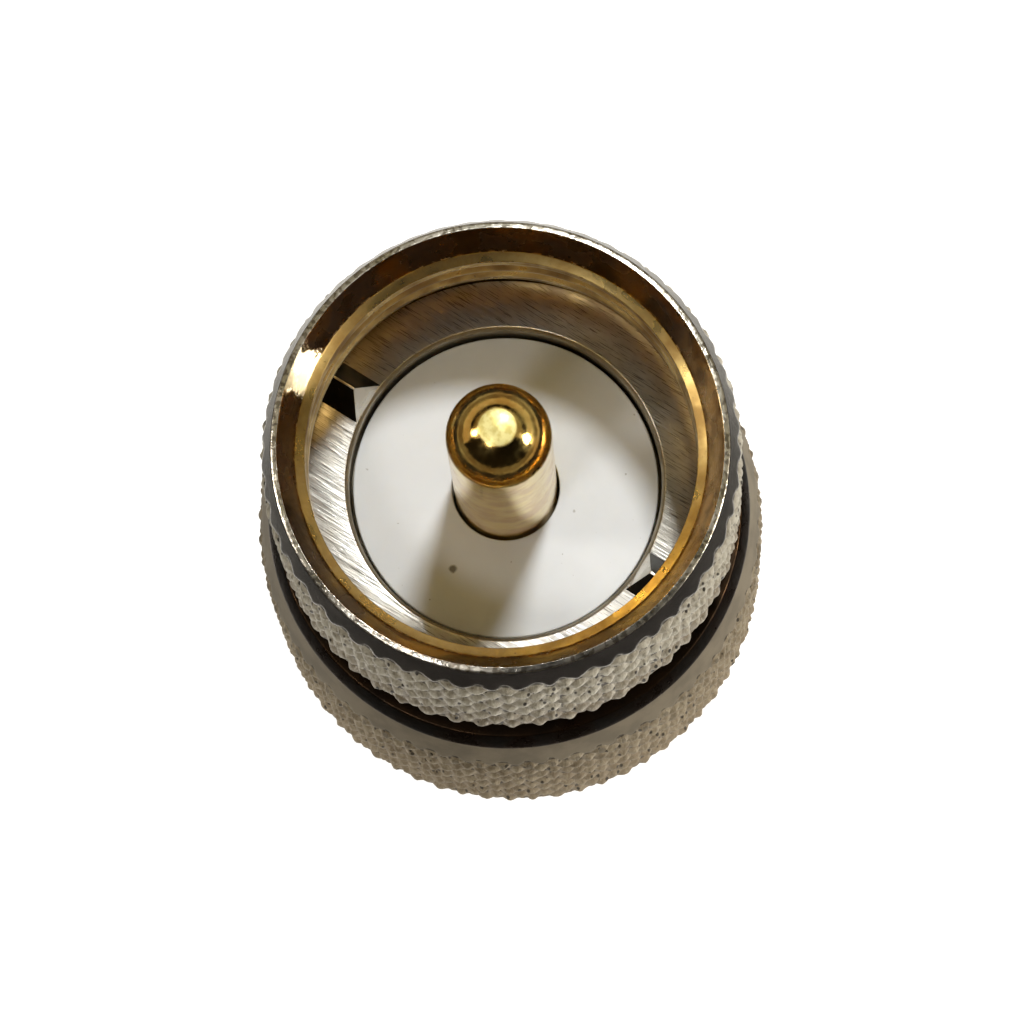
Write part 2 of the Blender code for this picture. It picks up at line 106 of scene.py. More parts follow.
def place_camera():
    """Aim the camera at the adapter, with the lens axis on the picture's AIM_PIXEL."""
    towards = direction(CAMERA_AZIMUTH, CAMERA_ELEVATION)
    level = Vector((-math.sin(CAMERA_AZIMUTH), math.cos(CAMERA_AZIMUTH), 0.0))
    upright = towards.cross(level)
    right = level * math.cos(CAMERA_ROLL) - upright * math.sin(CAMERA_ROLL)
    top = level * math.sin(CAMERA_ROLL) + upright * math.cos(CAMERA_ROLL)
    spot = Vector((0.0, 0.0, AIM_HEIGHT)) + towards * CAMERA_DISTANCE
    data = bpy.data.cameras.new("camera")
    data.lens = CAMERA_LENS
    data.sensor_width = CAMERA_SENSOR
    data.clip_start = 0.01
    data.clip_end = 10.0
    data.shift_x = (IMAGE_PIXELS / 2 - AIM_PIXEL[0]) / IMAGE_PIXELS
    data.shift_y = -(IMAGE_PIXELS / 2 - AIM_PIXEL[1]) / IMAGE_PIXELS
    camera = placed("camera", data)
    turn = Matrix((right, top, towards)).transposed().to_4x4()
    camera.matrix_world = Matrix.Translation(spot) @ turn
    bpy.context.scene.camera = camera


def soft_lamp(name, azimuth, elevation, size, watts, color):
    """A round soft box that faces the adapter's top, its place in degrees round and above it."""
    data = bpy.data.lights.new(name, "AREA")
    data.shape = "DISK"
    data.size = size
    data.energy = watts
    data.color = color
    lamp = placed(name, data)
    towards = direction(math.radians(azimuth), math.radians(elevation))
    lamp.location = Vector((0.0, 0.0, AIM_HEIGHT)) + towards * LAMP_DISTANCE
    lamp.rotation_euler = towards.to_track_quat("Z", "Y").to_euler()


def shader_of(material):
    """The node that says how the material's surface reflects."""
    return material.node_tree.nodes["Principled BSDF"]


def new_material(name, color, roughness, metallic):
    """A plain material of that colour, which the caller then works on."""
    material = bpy.data.materials.new(name)
    material.use_nodes = True
    shader = shader_of(material)
    shader.inputs["Base Color"].default_value = (*color, 1.0)
    shader.inputs["Roughness"].default_value = roughness
    shader.inputs["Metallic"].default_value = metallic
    return material


def feed(material, socket, source):
    """Link a node's output to an input, or set the input to a number or a colour."""
    if isinstance(source, bpy.types.NodeSocket):
        material.node_tree.links.new(source, socket)
    elif isinstance(source, tuple) and len(socket.default_value) == 4:
        socket.default_value = (*source, 1.0)
    else:
        socket.default_value = source


def reckon(material, operation, first, second=0.0, third=0.0):
    """One Math node on sockets or numbers."""
    node = material.node_tree.nodes.new("ShaderNodeMath")
    node.operation = operation
    for socket, source in zip(node.inputs, (first, second, third)):
        feed(material, socket, source)
    return node.outputs[0]


def ramp(material, source, low, high, start=0.0, end=1.0):
    """Smooth step from start to end while the source goes from low to high."""
    node = material.node_tree.nodes.new("ShaderNodeMapRange")
    node.interpolation_type = "SMOOTHSTEP"
    for socket, value in zip(node.inputs, (source, low, high, start, end)):
        feed(material, socket, value)
    return node.outputs[0]


def blended(material, factor, first, second):
    """The first colour where factor is 0, the second where it is 1."""
    node = material.node_tree.nodes.new("ShaderNodeMix")
    node.data_type = "RGBA"
    feed(material, node.inputs[0], factor)
    feed(material, node.inputs[6], first)
    feed(material, node.inputs[7], second)
    return node.outputs[2]


def new_piece(name, corners, faces, materials):
    """A new mesh object of the scene with those materials."""
    mesh = bpy.data.meshes.new(name)
    mesh.from_pydata(corners, [], faces)
    for material in materials:
        mesh.materials.append(material)
    return placed(name, mesh)


def level_ring(radius, height):
    """Points round Z, one for each panel of a band."""
    return [tuple(direction(math.tau * i / PANELS, 0.0) * radius + Vector((0.0, 0.0, height)))
            for i in range(PANELS)]


def make_band(name, inner, outer, material, panels=range(PANELS)):
    """A band between two (radius, height) rings, all panels of it or some."""
    faces = [(i, (i + 1) % PANELS, PANELS + (i + 1) % PANELS, PANELS + i) for i in panels]
    band = new_piece(name, level_ring(*inner) + level_ring(*outer), faces, [material])
    return band


def white_sweep(name, glow):
    """White that stays white in the picture and in the metal, and keeps the adapter's shadow."""
    white = new_material(name, SWEEP_WHITE, 0.9, 0.0)
    shader = shader_of(white)
    shader.inputs["Specular IOR Level"].default_value = 0.1
    shader.inputs["Emission Color"].default_value = (1.0, 1.0, 1.0, 1.0)
    path = white.node_tree.nodes.new("ShaderNodeLightPath")
    seen = reckon(white, "MAXIMUM", path.outputs["Is Camera Ray"], path.outputs["Is Glossy Ray"])
    through = reckon(white, "MAXIMUM", seen, path.outputs["Is Transmission Ray"])
    feed(white, shader.inputs["Emission Strength"], reckon(white, "MULTIPLY", through, glow))
    return white


def make_sweep():
    """A round floor with a low wall far behind it."""
    floor_white = white_sweep("floor_white", FLOOR_GLOW)
    wall_white = white_sweep("backdrop_white", BACKDROP_GLOW)
    make_band("floor_middle", (BAND_HOLE, FLOOR_HEIGHT), (FLOOR_MIDDLE, FLOOR_HEIGHT), floor_white)
    make_band("floor", (FLOOR_MIDDLE, FLOOR_HEIGHT), (FLOOR_RADIUS, FLOOR_HEIGHT), floor_white)
    backdrop = make_band("backdrop", (FLOOR_RADIUS, FLOOR_HEIGHT), (BACKDROP_RADIUS, BACKDROP_HEIGHT),
                         wall_white)
    backdrop.visible_diffuse = False
    backdrop.visible_shadow = False


def card_paint(name, tone):
    """Dead matt paint."""
    paint = new_material(name, tone, 1.0, 0.0)
    shader_of(paint).inputs["Specular IOR Level"].default_value = 0.0
    return paint


def make_cards():
    """Cards that only mirroring metal sees: black by the camera, pale with a dark line on the far side."""
    black = card_paint("black_card", CARD_TONE)
    away = black.node_tree.nodes.new("ShaderNodeVectorMath")
    away.operation = "LENGTH"
    feed(black, away.inputs[0], black.node_tree.nodes.new("ShaderNodeTexCoord").outputs["Object"])
    dark = ramp(black, away.outputs["Value"], WHITE_PATCH, DARK_FROM)
    feed(black, shader_of(black).inputs["Base Color"],
         blended(black, dark, PATCH_TONE, CARD_TONE))
    dim = card_paint("dim_card", DIM_TONE)
    soft = new_material("soft_card", SOFT_TONE, 1.0, 0.0)
    near_wall, far_wall = (CARD_RADIUS, BLACK_CARD_TOP), (CARD_RADIUS, SOFT_CARD_TOP)
    low_wall, roof_edge = (CARD_RADIUS, LOW_CARD_TOP), (CARD_RADIUS, ROOF_HEIGHT)
    foot_edge = (FOOT_CARD_RADIUS, FOOT_CARD_HEIGHT)
    cards = [make_band("card_round", low_wall, near_wall, black, CAMERA_SIDE),
             make_band("card_behind", low_wall, far_wall, soft, FAR_SIDE),
             make_band("card_line", far_wall, (CARD_RADIUS, LINE_CARD_TOP), black, FAR_SIDE),
             make_band("card_low", (CARD_RADIUS, 0.0), low_wall, dim),
             make_band("card_flat", (WHITE_PATCH, FOOT_CARD_HEIGHT), foot_edge, black),
             make_band("card_far", foot_edge, (CARD_RADIUS, FOOT_CARD_HEIGHT), dim),
             make_band("card_over", (BAND_HOLE, ROOF_HEIGHT), (ROOF_RADIUS, ROOF_HEIGHT), black),
             make_band("card_near", near_wall, roof_edge, black, CAMERA_SIDE),
             make_band("card_near_over", (ROOF_RADIUS, ROOF_HEIGHT), roof_edge, black, CAMERA_SIDE)]
    for card in cards:
        card.visible_camera = False
        card.visible_diffuse = False
        card.visible_shadow = False


place_camera()
make_sweep()
make_cards()
for lamp_settings in LAMPS:
    soft_lamp(*lamp_settings)
world = bpy.data.worlds.new("studio")
world.use_nodes = True
background = world.node_tree.nodes["Background"]
background.inputs["Color"].default_value = (*ROOM_LIGHT, 1.0)
background.inputs["Strength"].default_value = ROOM_STRENGTH
bpy.context.scene.world = world
bpy.context.scene.view_settings.view_transform = "Standard"

# The UHF plug's coupling ring: turned brass bar, knurled outside, threaded 5/8-24 inside and nickel plated.
# Its lip turns freely on the shell's hub. The knurl is tumbled dull, the chamfer is bright and dark,
# and the plate thins to a brassy brown down in the bore.
RING_TEETH = 51
SAMPLES_PER_TOOTH = 12
RING_KNURL_DEPTH = 0.00023
DIAMOND_STRETCH = 1.75
RING_RIM_RADIUS = 0.00865
RING_RIM_WIDTH = 0.00021
RING_RIM_FALL = 0.000055
RING_CHAMFER_LENGTH = 0.00185
RING_KNURL_LENGTH = 0.0087
RING_BACK_CHAMFER = 0.0002
CROSSING_DROP = 0.00004
RING_COLLAR_RADIUS = 0.0086
RING_BEVEL_RADIUS = 0.00782
RING_BEVEL_DEPTH = 0.00135
RING_THREAD_RADIUS = 0.00746
RING_THREAD_TOP = 0.00152
RING_THREAD_END = 0.0045
RING_RELIEF_TOP = 0.0051
RING_RELIEF_RADIUS = 0.00815
RING_LIP = 0.0019
RING_LIP_HOLE = 0.00685
RING_BACK_EDGE = 0.0001
RING_MOUTH_EASE = 0.00003
MILLIMETRE = 0.001
FINE_ROW, FINE_ROWS_END = 0.075, 3.0
COARSE_ROW, COARSE_ROWS_END = 0.165, 10.4
RING_THREAD_ROWS = 40
RING_SEED = 5
KNURL_WANDER = ((0.05, 23, 3100), (0.04, 41, -5200))
BEAD_ROUNDING = 0.65
CROSSING_SHARE = 0.15
CRINKLE_ROWS = 4
THREAD_CREST_FLAT, THREAD_FLANK = 0.12, 0.70
THREAD_LEAD, THREAD_TAIL = 0.5, 0.3
THREAD_PITCH = 0.0254 / 24
THREAD_DEPTH = 0.00014
TOOL_RINGS, TOOL_RING_DEPTH = 11000.0, 0.0000012
COBBLES, COBBLE_DEPTH = 5000.0, 0.000075
COBBLE_STRETCH = (1.0, 1.0, 0.35)
PITS, PIT_RADIUS = 2600.0, 0.000095
GLINT_AZIMUTH = math.radians(190.0)
GLINT_HALF, GLINT_FULL, GLINT_RAGGED = 0.130, 0.100, 0.16
GLINT_LEAN, GLINT_ROLL = -0.68, 0.0005
# Where the painted light on the bevel's east side, towards the right lamp, begins and is full, and how it
# slants.
PAINTED_LIGHT_FROM, PAINTED_LIGHT_FULL = 0.0056, 0.0078
PAINTED_LIGHT_SLANT = 0.36
NICKEL = (0.66, 0.63, 0.56)
NICKEL_SHADE = (0.52, 0.48, 0.41)
KNURL_NICKEL = (0.72, 0.69, 0.61)
KNURL_SHADE = (0.56, 0.52, 0.44)
KNURL_BROWN = (0.28, 0.22, 0.15)
CRINKLE = 0.000014
GRIME = (0.10, 0.08, 0.06)
KNURL_DIRT = (0.20, 0.17, 0.12)
PIT_DARK = (0.045, 0.036, 0.026)
BRUISE = (0.16, 0.13, 0.09)
CHAMFER_NICKEL = (0.44, 0.41, 0.38)
BRASSY = (0.46, 0.33, 0.125)
BRASSY_SHADE = (0.24, 0.15, 0.05)
BEVEL_BROWN = (0.40, 0.26, 0.12)
BEVEL_SHADE = (0.17, 0.09, 0.04)
BEVEL_GREY = (0.11, 0.082, 0.068)
# Painted light: the brassy glow of the bevel's east side, which faces the right lamp.
PAINTED_LIGHT_BRASS = (0.88, 0.64, 0.34)
# Painted highlight: the pale gold of the bevel's glint patch and of the sparkles along its low edge.
PAINTED_HIGHLIGHT = (0.95, 0.80, 0.55)
# Painted shade: the near-black, brownish nickel of the gap between the ring and the nut.
GROOVE_PAINTED_SHADE = (0.060, 0.034, 0.018)
GROOVE_SHADE = (0.018, 0.012, 0.008)


def run(start, end, steps):
    """Points from start up to, but without, end."""
    return [(start[0] + (end[0] - start[0]) * i / steps, start[1] + (end[1] - start[1]) * i / steps)
            for i in range(steps)]


def eased(points, radius, arc_steps=3):
    """The closed outline with each corner rounded by a curve that takes under half of either side."""
    smooth = []
    count = len(points)
    for i in range(count):
        before, corner, after = (Vector(points[j % count]) for j in (i - 1, i, i + 1))
        arm_in, arm_out = before - corner, after - corner
        reach = min(radius, arm_in.length * 0.45, arm_out.length * 0.45)
        start, end = corner + arm_in.normalized() * reach, corner + arm_out.normalized() * reach
        for step in range(arc_steps + 1):
            t = step / arc_steps
            spot = start * (1 - t) ** 2 + corner * (2 * t * (1 - t)) + end * t ** 2
            smooth.append((spot.x, spot.y))
    return smooth


def turned_mesh(name, radii, heights, materials, finish=None):
    """A closed ring of rows of radius and height round Z, with each row's material number in finish."""
    rows, columns = radii.shape
    angles = np.arange(columns) * math.tau / columns
    corners = np.stack([radii * np.cos(angles), radii * np.sin(angles), heights], axis=-1).reshape(-1, 3)
    row = np.arange(rows)[:, None]
    column = np.arange(columns)[None, :]
    beside = (column + 1) % columns
    below = (row + 1) % rows
    faces = np.stack([row * columns + column, below * columns + column,
                      below * columns + beside, row * columns + beside], axis=-1).reshape(-1, 4)
    piece = new_piece(name, corners.tolist(), faces.tolist(), materials)
    if finish is not None:
        finishes = np.repeat(np.array(finish, dtype=np.int32), columns)
        piece.data.polygons.foreach_set("material_index", finishes)
    piece.data.shade_smooth()
    return piece


def spread(points, columns):
    """Rows of equal radius and height for the plain stretches of a profile."""
    table = np.array(points)
    return np.repeat(table[:, :1], columns, axis=1), np.repeat(table[:, 1:], columns, axis=1)


def turned(name, outline, material, columns=192):
    """A smooth turned piece from a closed outline of (radius, height) that runs down its outer side."""
    return turned_mesh(name, *spread(outline, columns), [material])


def knurl_loss(angles, heights, teeth, radius, row):
    """How far the crossed grooves of a rolled knurl reach in, from 0 on a bead's top to 1 where two cross.

    Row is the height of one row of crossings. The grooves wander a little, as a worn wheel rolls them."""
    length = math.tau * radius / teeth * DIAMOND_STRETCH
    around = angles * teeth / math.tau
    for share, waves, climb in KNURL_WANDER:
        around = around + share * np.sin(waves * angles + climb * heights)
    along = (heights - row) / length
    first = np.sin(math.pi * (around + along)) ** 2
    second = np.sin(math.pi * (around - along)) ** 2
    groove = 1.0 - (first * second) ** BEAD_ROUNDING
    return (1.0 - CROSSING_SHARE) * groove + CROSSING_SHARE * ((1.0 - first) * (1.0 - second)) ** 1.5


def crinkled(radii, knurled, seed):
    """The radii with the small random hollows of a tumbled knurl, taller than wide."""
    rows, columns = radii.shape
    hollows = np.abs(np.random.default_rng(seed).normal(size=(rows // CRINKLE_ROWS + 2, columns)))
    place = np.arange(rows) / CRINKLE_ROWS
    whole = place.astype(int)
    part = (place - whole)[:, None]
    return radii - CRINKLE * (hollows[whole] * (1 - part) + hollows[whole + 1] * part) * knurled


def thread_loss(angles, heights, start, end):
    """How far a 60 degree internal thread cuts out, from 0 on its crest to 1 at its root.

    It eases in from the height start and out at the height end."""
    turn = heights / THREAD_PITCH + angles / math.tau
    wave = 2 * np.abs(turn - np.round(turn))
    groove = np.clip((wave - THREAD_CREST_FLAT) / THREAD_FLANK, 0.0, 1.0)
    lead = np.clip((start - heights) / (THREAD_LEAD * THREAD_PITCH), 0.0, 1.0)
    tail = np.clip((heights - end) / (THREAD_TAIL * THREAD_PITCH), 0.0, 1.0)
    return groove * np.minimum(lead, tail)


def span(material, x, y):
    """The length of X and Y together."""
    return reckon(material, "SQRT", reckon(material, "ADD", reckon(material, "MULTIPLY", x, x),
                                           reckon(material, "MULTIPLY", y, y)))


def spot_of(material):
    """The point, its X, Y and Z, its radius from the axis, and its way along the lathe's profile."""
    nodes = material.node_tree.nodes
    split = nodes.new("ShaderNodeSeparateXYZ")
    point = nodes.new("ShaderNodeTexCoord").outputs["Object"]
    feed(material, split.inputs[0], point)
    x, y, z = split.outputs
    radius = span(material, x, y)
    return {"point": point, "x": x, "y": y, "z": z, "radius": radius,
            "profile": reckon(material, "ADD", radius, z)}


def grain(material, scale, detail=2.0, vector=None, way=None):
    """A noise of that many grains to the metre, over the point or along one way."""
    noise = material.node_tree.nodes.new("ShaderNodeTexNoise")
    noise.inputs["Scale"].default_value = scale
    noise.inputs["Detail"].default_value = detail
    if way is not None:
        noise.noise_dimensions = "1D"
        feed(material, noise.inputs["W"], way)
    else:
        feed(material, noise.inputs["Vector"], vector)
    return noise.outputs[0]


def dots(material, scale, size, vector):
    """Round spots at random, that many cells to the metre, each with a radius of that many metres."""
    cells = material.node_tree.nodes.new("ShaderNodeTexVoronoi")
    cells.inputs["Scale"].default_value = scale
    feed(material, cells.inputs["Vector"], vector)
    return ramp(material, cells.outputs["Distance"], size * scale, size * scale * 0.6)


def raised(material, *layers):
    """Bump from (height socket, depth in metres) layers."""
    normal = None
    for height, depth in layers:
        bump = material.node_tree.nodes.new("ShaderNodeBump")
        bump.inputs["Distance"].default_value = depth
        feed(material, bump.inputs["Height"], height)
        if normal:
            feed(material, bump.inputs["Normal"], normal)
        normal = bump.outputs[0]
    shader = shader_of(material)
    feed(material, shader.inputs["Normal"], normal)


def stretched(material, vector, stretch):
    """The vector with its X, Y and Z multiplied, so that what is drawn on it stretches."""
    node = material.node_tree.nodes.new("ShaderNodeVectorMath")
    node.operation = "MULTIPLY"
    feed(material, node.inputs[0], vector)
    node.inputs[1].default_value = stretch
    return node.outputs[0]


def turned_metal(name, color, shade, roughness, dents=0.000004):
    """Plated metal off the lathe: cloudy plate, fine tool rings, a little pitting and dark specks."""
    metal = new_material(name, color, roughness, 1.0)
    shader = shader_of(metal)
    spot = spot_of(metal)
    cloud = grain(metal, 700.0, 4.0, spot["point"])
    speck = grain(metal, 5200.0, 3.0, spot["point"])
    rings = grain(metal, TOOL_RINGS, 2.0, way=spot["profile"])
    plate = blended(metal, ramp(metal, cloud, 0.36, 0.66), color, shade)
    plate = blended(metal, ramp(metal, speck, 0.66, 0.80, 0.0, 0.8), plate, GRIME)
    feed(metal, shader.inputs["Base Color"], plate)
    feed(metal, shader.inputs["Roughness"],
         ramp(metal, cloud, 0.30, 0.70, roughness * 0.75, roughness * 1.35))
    raised(metal, (rings, TOOL_RING_DEPTH), (grain(metal, 2600.0, 3.0, spot["point"]), dents))
    return metal


def knurled_metal(name, plate, shade, crest, depth, front, back, low, browned, band, band_metallic,
                  band_roughness):
    """Dull knurl between the chamfers, which are lines (radius, height, radius per height) that bound it.

    The knurl turns brown down to the height low, from the height browned."""
    metal = new_material(name, plate, 0.45, 0.62)
    shader = shader_of(metal)
    spot = spot_of(metal)
    spare = None
    for radius, height, slope in (front, back):
        edge = reckon(metal, "MULTIPLY_ADD", reckon(metal, "SUBTRACT", spot["z"], height), slope, radius)
        room = reckon(metal, "SUBTRACT", edge, spot["radius"])
        spare = room if spare is None else reckon(metal, "MINIMUM", spare, room)
    knurl = reckon(metal, "MULTIPLY", ramp(metal, spare, 0.000006, 0.000030),
                   ramp(metal, spot["z"], low - 0.00002, low + 0.00002))
    # Deeper in the grooves the knurl turns browner, and at their bottoms nearly black; dark round spots lie
    # at random too.
    sunk = ramp(metal, spot["radius"], crest - 0.25 * depth, crest - 0.80 * depth)
    pit = ramp(metal, spot["radius"], crest - 0.84 * depth, crest - 0.97 * depth)
    cloud = grain(metal, 800.0, 4.0, spot["point"])
    upright = stretched(metal, spot["point"], COBBLE_STRETCH)
    cobble = grain(metal, COBBLES, 3.0, upright)
    rings = grain(metal, TOOL_RINGS, 2.0, way=spot["profile"])
    dull = blended(metal, ramp(metal, cloud, 0.35, 0.68), plate, shade)
    sooner = reckon(metal, "POWER", ramp(metal, spot["z"], browned, low), 0.6)
    brown = reckon(metal, "MULTIPLY_ADD", sooner, 0.62, reckon(metal, "MULTIPLY", sunk, 0.36))
    dull = blended(metal, brown, dull, KNURL_BROWN)
    dull = blended(metal, ramp(metal, cobble, 0.52, 0.68, 0.0, 0.60), dull, KNURL_DIRT)
    dull = blended(metal, ramp(metal, cobble, 0.46, 0.34, 0.0, 0.50), dull,
                   tuple(part * 1.2 for part in plate))
    dull = blended(metal, dots(metal, PITS, PIT_RADIUS, upright), dull, PIT_DARK)
    dull = blended(metal, reckon(metal, "MULTIPLY", pit, 0.93), dull, PIT_DARK)
    bright = blended(metal, ramp(metal, cloud, 0.36, 0.66), band, tuple(part * 0.75 for part in band))
    feed(metal, shader.inputs["Base Color"], blended(metal, knurl, bright, dull))
    feed(metal, shader.inputs["Metallic"], ramp(metal, knurl, 0.0, 1.0, band_metallic, 0.50))
    feed(metal, shader.inputs["Roughness"], ramp(metal, knurl, 0.0, 1.0, band_roughness, 0.50))
    rough = reckon(metal, "MULTIPLY", cobble, reckon(metal, "MULTIPLY_ADD", knurl, 0.94, 0.06))
    raised(metal, (rough, COBBLE_DEPTH), (rings, TOOL_RING_DEPTH))
    return metal


def bevel_metal(name):
    """Tarnished plate, brown and grey in patches, with painted light on its east side, which faces the
    right lamp.

    One spot is tilted up by a bump so that it mirrors the lamps, and is painted pale gold as a highlight,
    as is a row of sparkles along the bevel's low edge."""
    metal = turned_metal(name, BEVEL_BROWN, BEVEL_SHADE, 0.24)
    shader = shader_of(metal)
    spot = spot_of(metal)
    turn = reckon(metal, "ARCTAN2", reckon(metal, "MULTIPLY", spot["y"], -1.0),
                  reckon(metal, "MULTIPLY", spot["x"], -1.0))
    off = reckon(metal, "SUBTRACT", turn, GLINT_AZIMUTH - math.pi)
    edge = grain(metal, 1500.0, 4.0, spot["point"])
    away = reckon(metal, "MULTIPLY_ADD", reckon(metal, "SUBTRACT", edge, 0.5), GLINT_RAGGED,
                  reckon(metal, "ABSOLUTE", off))
    patch = ramp(metal, away, GLINT_HALF, GLINT_FULL)
    above_middle = reckon(metal, "SUBTRACT", spot["z"], rim - RING_BEVEL_DEPTH / 2)
    lean = reckon(metal, "MULTIPLY_ADD", off, GLINT_ROLL,
                  reckon(metal, "MULTIPLY", above_middle, GLINT_LEAN))
    tilt = metal.node_tree.nodes.new("ShaderNodeBump")
    tilt.inputs["Distance"].default_value = 1.0
    feed(metal, tilt.inputs["Height"], reckon(metal, "MULTIPLY", lean, patch))
    feed(metal, tilt.inputs["Normal"], shader.inputs["Normal"].links[0].from_socket)
    # Painted highlights: pale sparkles, in specks at random, along the bevel's low edge.
    low_edge = ramp(metal, spot["radius"], RING_BEVEL_RADIUS + 0.00006, RING_BEVEL_RADIUS)
    sparkle_specks = ramp(metal, grain(metal, 3500.0, 2.0, spot["point"]), 0.50, 0.60)
    painted_sparkle_edge = reckon(metal, "MULTIPLY", low_edge, sparkle_specks)
    plain = shader.inputs["Base Color"].links[0].from_socket
    patchy = grain(metal, 360.0, 1.0, spot["point"])
    plain = blended(metal, ramp(metal, patchy, 0.45, 0.54, 0.0, 0.75), plain, BEVEL_GREY)
    # Painted light: the east side, towards the right lamp, turns lighter and brassier, broken up at random.
    east = reckon(metal, "MULTIPLY_ADD", spot["y"], PAINTED_LIGHT_SLANT, spot["x"])
    painted_lit_side = reckon(metal, "MULTIPLY", ramp(metal, east, PAINTED_LIGHT_FROM, PAINTED_LIGHT_FULL),
                    ramp(metal, edge, 0.34, 0.60, 0.5, 1.0))
    plain = blended(metal, painted_lit_side, plain, PAINTED_LIGHT_BRASS)
    # Painted highlights: the glint patch and the sparkles along the low edge take the pale gold.
    feed(metal, shader.inputs["Base Color"],
         blended(metal, reckon(metal, "MAXIMUM", patch, painted_sparkle_edge), plain, PAINTED_HIGHLIGHT))
    feed(metal, shader.inputs["Normal"], tilt.outputs[0])
    return metal


ring_low, ring_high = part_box("uhf_coupling_ring")
rim = ring_high[2]
ring_back = ring_low[2]
ring_crest = (ring_high[0] - ring_low[0]) / 2
ring_knurl_end = rim - RING_CHAMFER_LENGTH - RING_KNURL_LENGTH
columns = RING_TEETH * SAMPLES_PER_TOOTH
angles = np.arange(columns)[None, :] * math.tau / columns
chamfer_slope = (ring_crest - RING_RIM_RADIUS) / RING_CHAMFER_LENGTH

outer = np.concatenate([np.arange(FINE_ROW, FINE_ROWS_END, FINE_ROW),
                        np.arange(FINE_ROWS_END, COARSE_ROWS_END, COARSE_ROW),
                        [COARSE_ROWS_END]]) * MILLIMETRE
outer_heights = rim - outer[:, None] + 0 * angles
cone = RING_RIM_RADIUS + (rim - outer_heights) * chamfer_slope
back_cone = ring_crest + (outer_heights - ring_knurl_end - RING_BACK_CHAMFER)
crossing_row = rim - (ring_crest - RING_KNURL_DEPTH - RING_RIM_RADIUS) / chamfer_slope - CROSSING_DROP
loss = knurl_loss(angles, outer_heights, RING_TEETH, ring_crest, crossing_row)
grooves = ring_crest - RING_KNURL_DEPTH * loss
outer_radii = np.minimum(np.minimum(cone, grooves), np.maximum(back_cone, RING_COLLAR_RADIUS))
outer_radii = crinkled(outer_radii, (grooves < np.minimum(cone, back_cone)), RING_SEED)
thread_top = rim - RING_THREAD_TOP
thread_end = rim - RING_THREAD_END
relief_top = rim - RING_RELIEF_TOP
thread_heights = np.linspace(thread_end, thread_top, RING_THREAD_ROWS)[:, None] + 0 * angles
cut = thread_loss(angles, thread_heights, thread_top, thread_end)
thread_radii = RING_THREAD_RADIUS + THREAD_DEPTH * cut
behind = ([(RING_COLLAR_RADIUS, ring_knurl_end - RING_BACK_EDGE),
           (RING_COLLAR_RADIUS, ring_back + RING_BACK_EDGE)]
          + run((RING_COLLAR_RADIUS - RING_BACK_EDGE, ring_back), (RING_LIP_HOLE, ring_back), 2)
          + run((RING_LIP_HOLE, ring_back), (RING_LIP_HOLE, ring_back + RING_LIP), 2)
          + run((RING_LIP_HOLE, ring_back + RING_LIP), (RING_RELIEF_RADIUS, ring_back + RING_LIP), 2)
          + run((RING_RELIEF_RADIUS, ring_back + RING_LIP), (RING_RELIEF_RADIUS, relief_top), 2)
          + [(RING_RELIEF_RADIUS, relief_top), (RING_THREAD_RADIUS + 0.00004, thread_end - 0.00006)])
mouth = eased([(RING_THREAD_RADIUS, thread_top), (RING_BEVEL_RADIUS, rim - RING_BEVEL_DEPTH),
               (RING_RIM_RADIUS - RING_RIM_WIDTH, rim),
               (RING_RIM_RADIUS - RING_RIM_WIDTH / 2, rim - RING_RIM_FALL / 2),
               (RING_RIM_RADIUS, rim - RING_RIM_FALL)], RING_MOUTH_EASE)
mouth = ([(RING_THREAD_RADIUS + 0.00002, thread_top + 0.00001)] + mouth[4:-4]
         + [(RING_RIM_RADIUS, rim - RING_RIM_FALL)])
behind_radii, behind_heights = spread(behind, columns)
mouth_radii, mouth_heights = spread(mouth, columns)
ring_outside = knurled_metal("ring_nickel", KNURL_NICKEL, KNURL_SHADE, ring_crest, RING_KNURL_DEPTH,
                             (RING_RIM_RADIUS, rim, -chamfer_slope),
                             (ring_crest, ring_knurl_end + RING_BACK_CHAMFER, 1.0),
                             ring_knurl_end, ring_knurl_end + 0.0045, CHAMFER_NICKEL, 1.0, 0.22)
ring_bore = turned_metal("ring_bore_nickel", BRASSY, BRASSY_SHADE, 0.32)
ring_bevel = bevel_metal("ring_bevel_painted_light")
ring_rim = turned_metal("ring_rim_nickel", NICKEL, NICKEL_SHADE, 0.24, dents=0.000030)
rim_shader = shader_of(ring_rim)
knocks = grain(ring_rim, 4600.0, 1.0, spot_of(ring_rim)["point"])
rim_plate = rim_shader.inputs["Base Color"].links[0].from_socket
feed(ring_rim, rim_shader.inputs["Base Color"],
     blended(ring_rim, ramp(ring_rim, knocks, 0.50, 0.60, 0.0, 0.75), rim_plate, BRUISE))
# The ring's collar and back, and the nut's back and hole edge, are painted near black as the shade of the
# gap between them.
groove_shade_metal = turned_metal("groove_painted_shade", GROOVE_PAINTED_SHADE, GROOVE_SHADE, 0.32, dents=0.000012)
# Row by row: the outside, the groove behind it, painted near black as shade, the bore, the bevel, and the
# rim.
finish = ([0] * (len(outer) - 1) + [4] * 6 + [1] * (len(behind) - 5 + len(thread_heights))
          + [1] * 3 + [2] * 4 + [3] * (len(mouth) - 7))
ring = turned_mesh("coupling_ring",
                   np.concatenate([outer_radii, behind_radii, thread_radii, mouth_radii]),
                   np.concatenate([outer_heights, behind_heights, thread_heights, mouth_heights]),
                   [ring_outside, ring_bore, ring_bevel, ring_rim, groove_shade_metal], finish)
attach(ring, "uhf_ring")
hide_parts("uhf_coupling_ring")

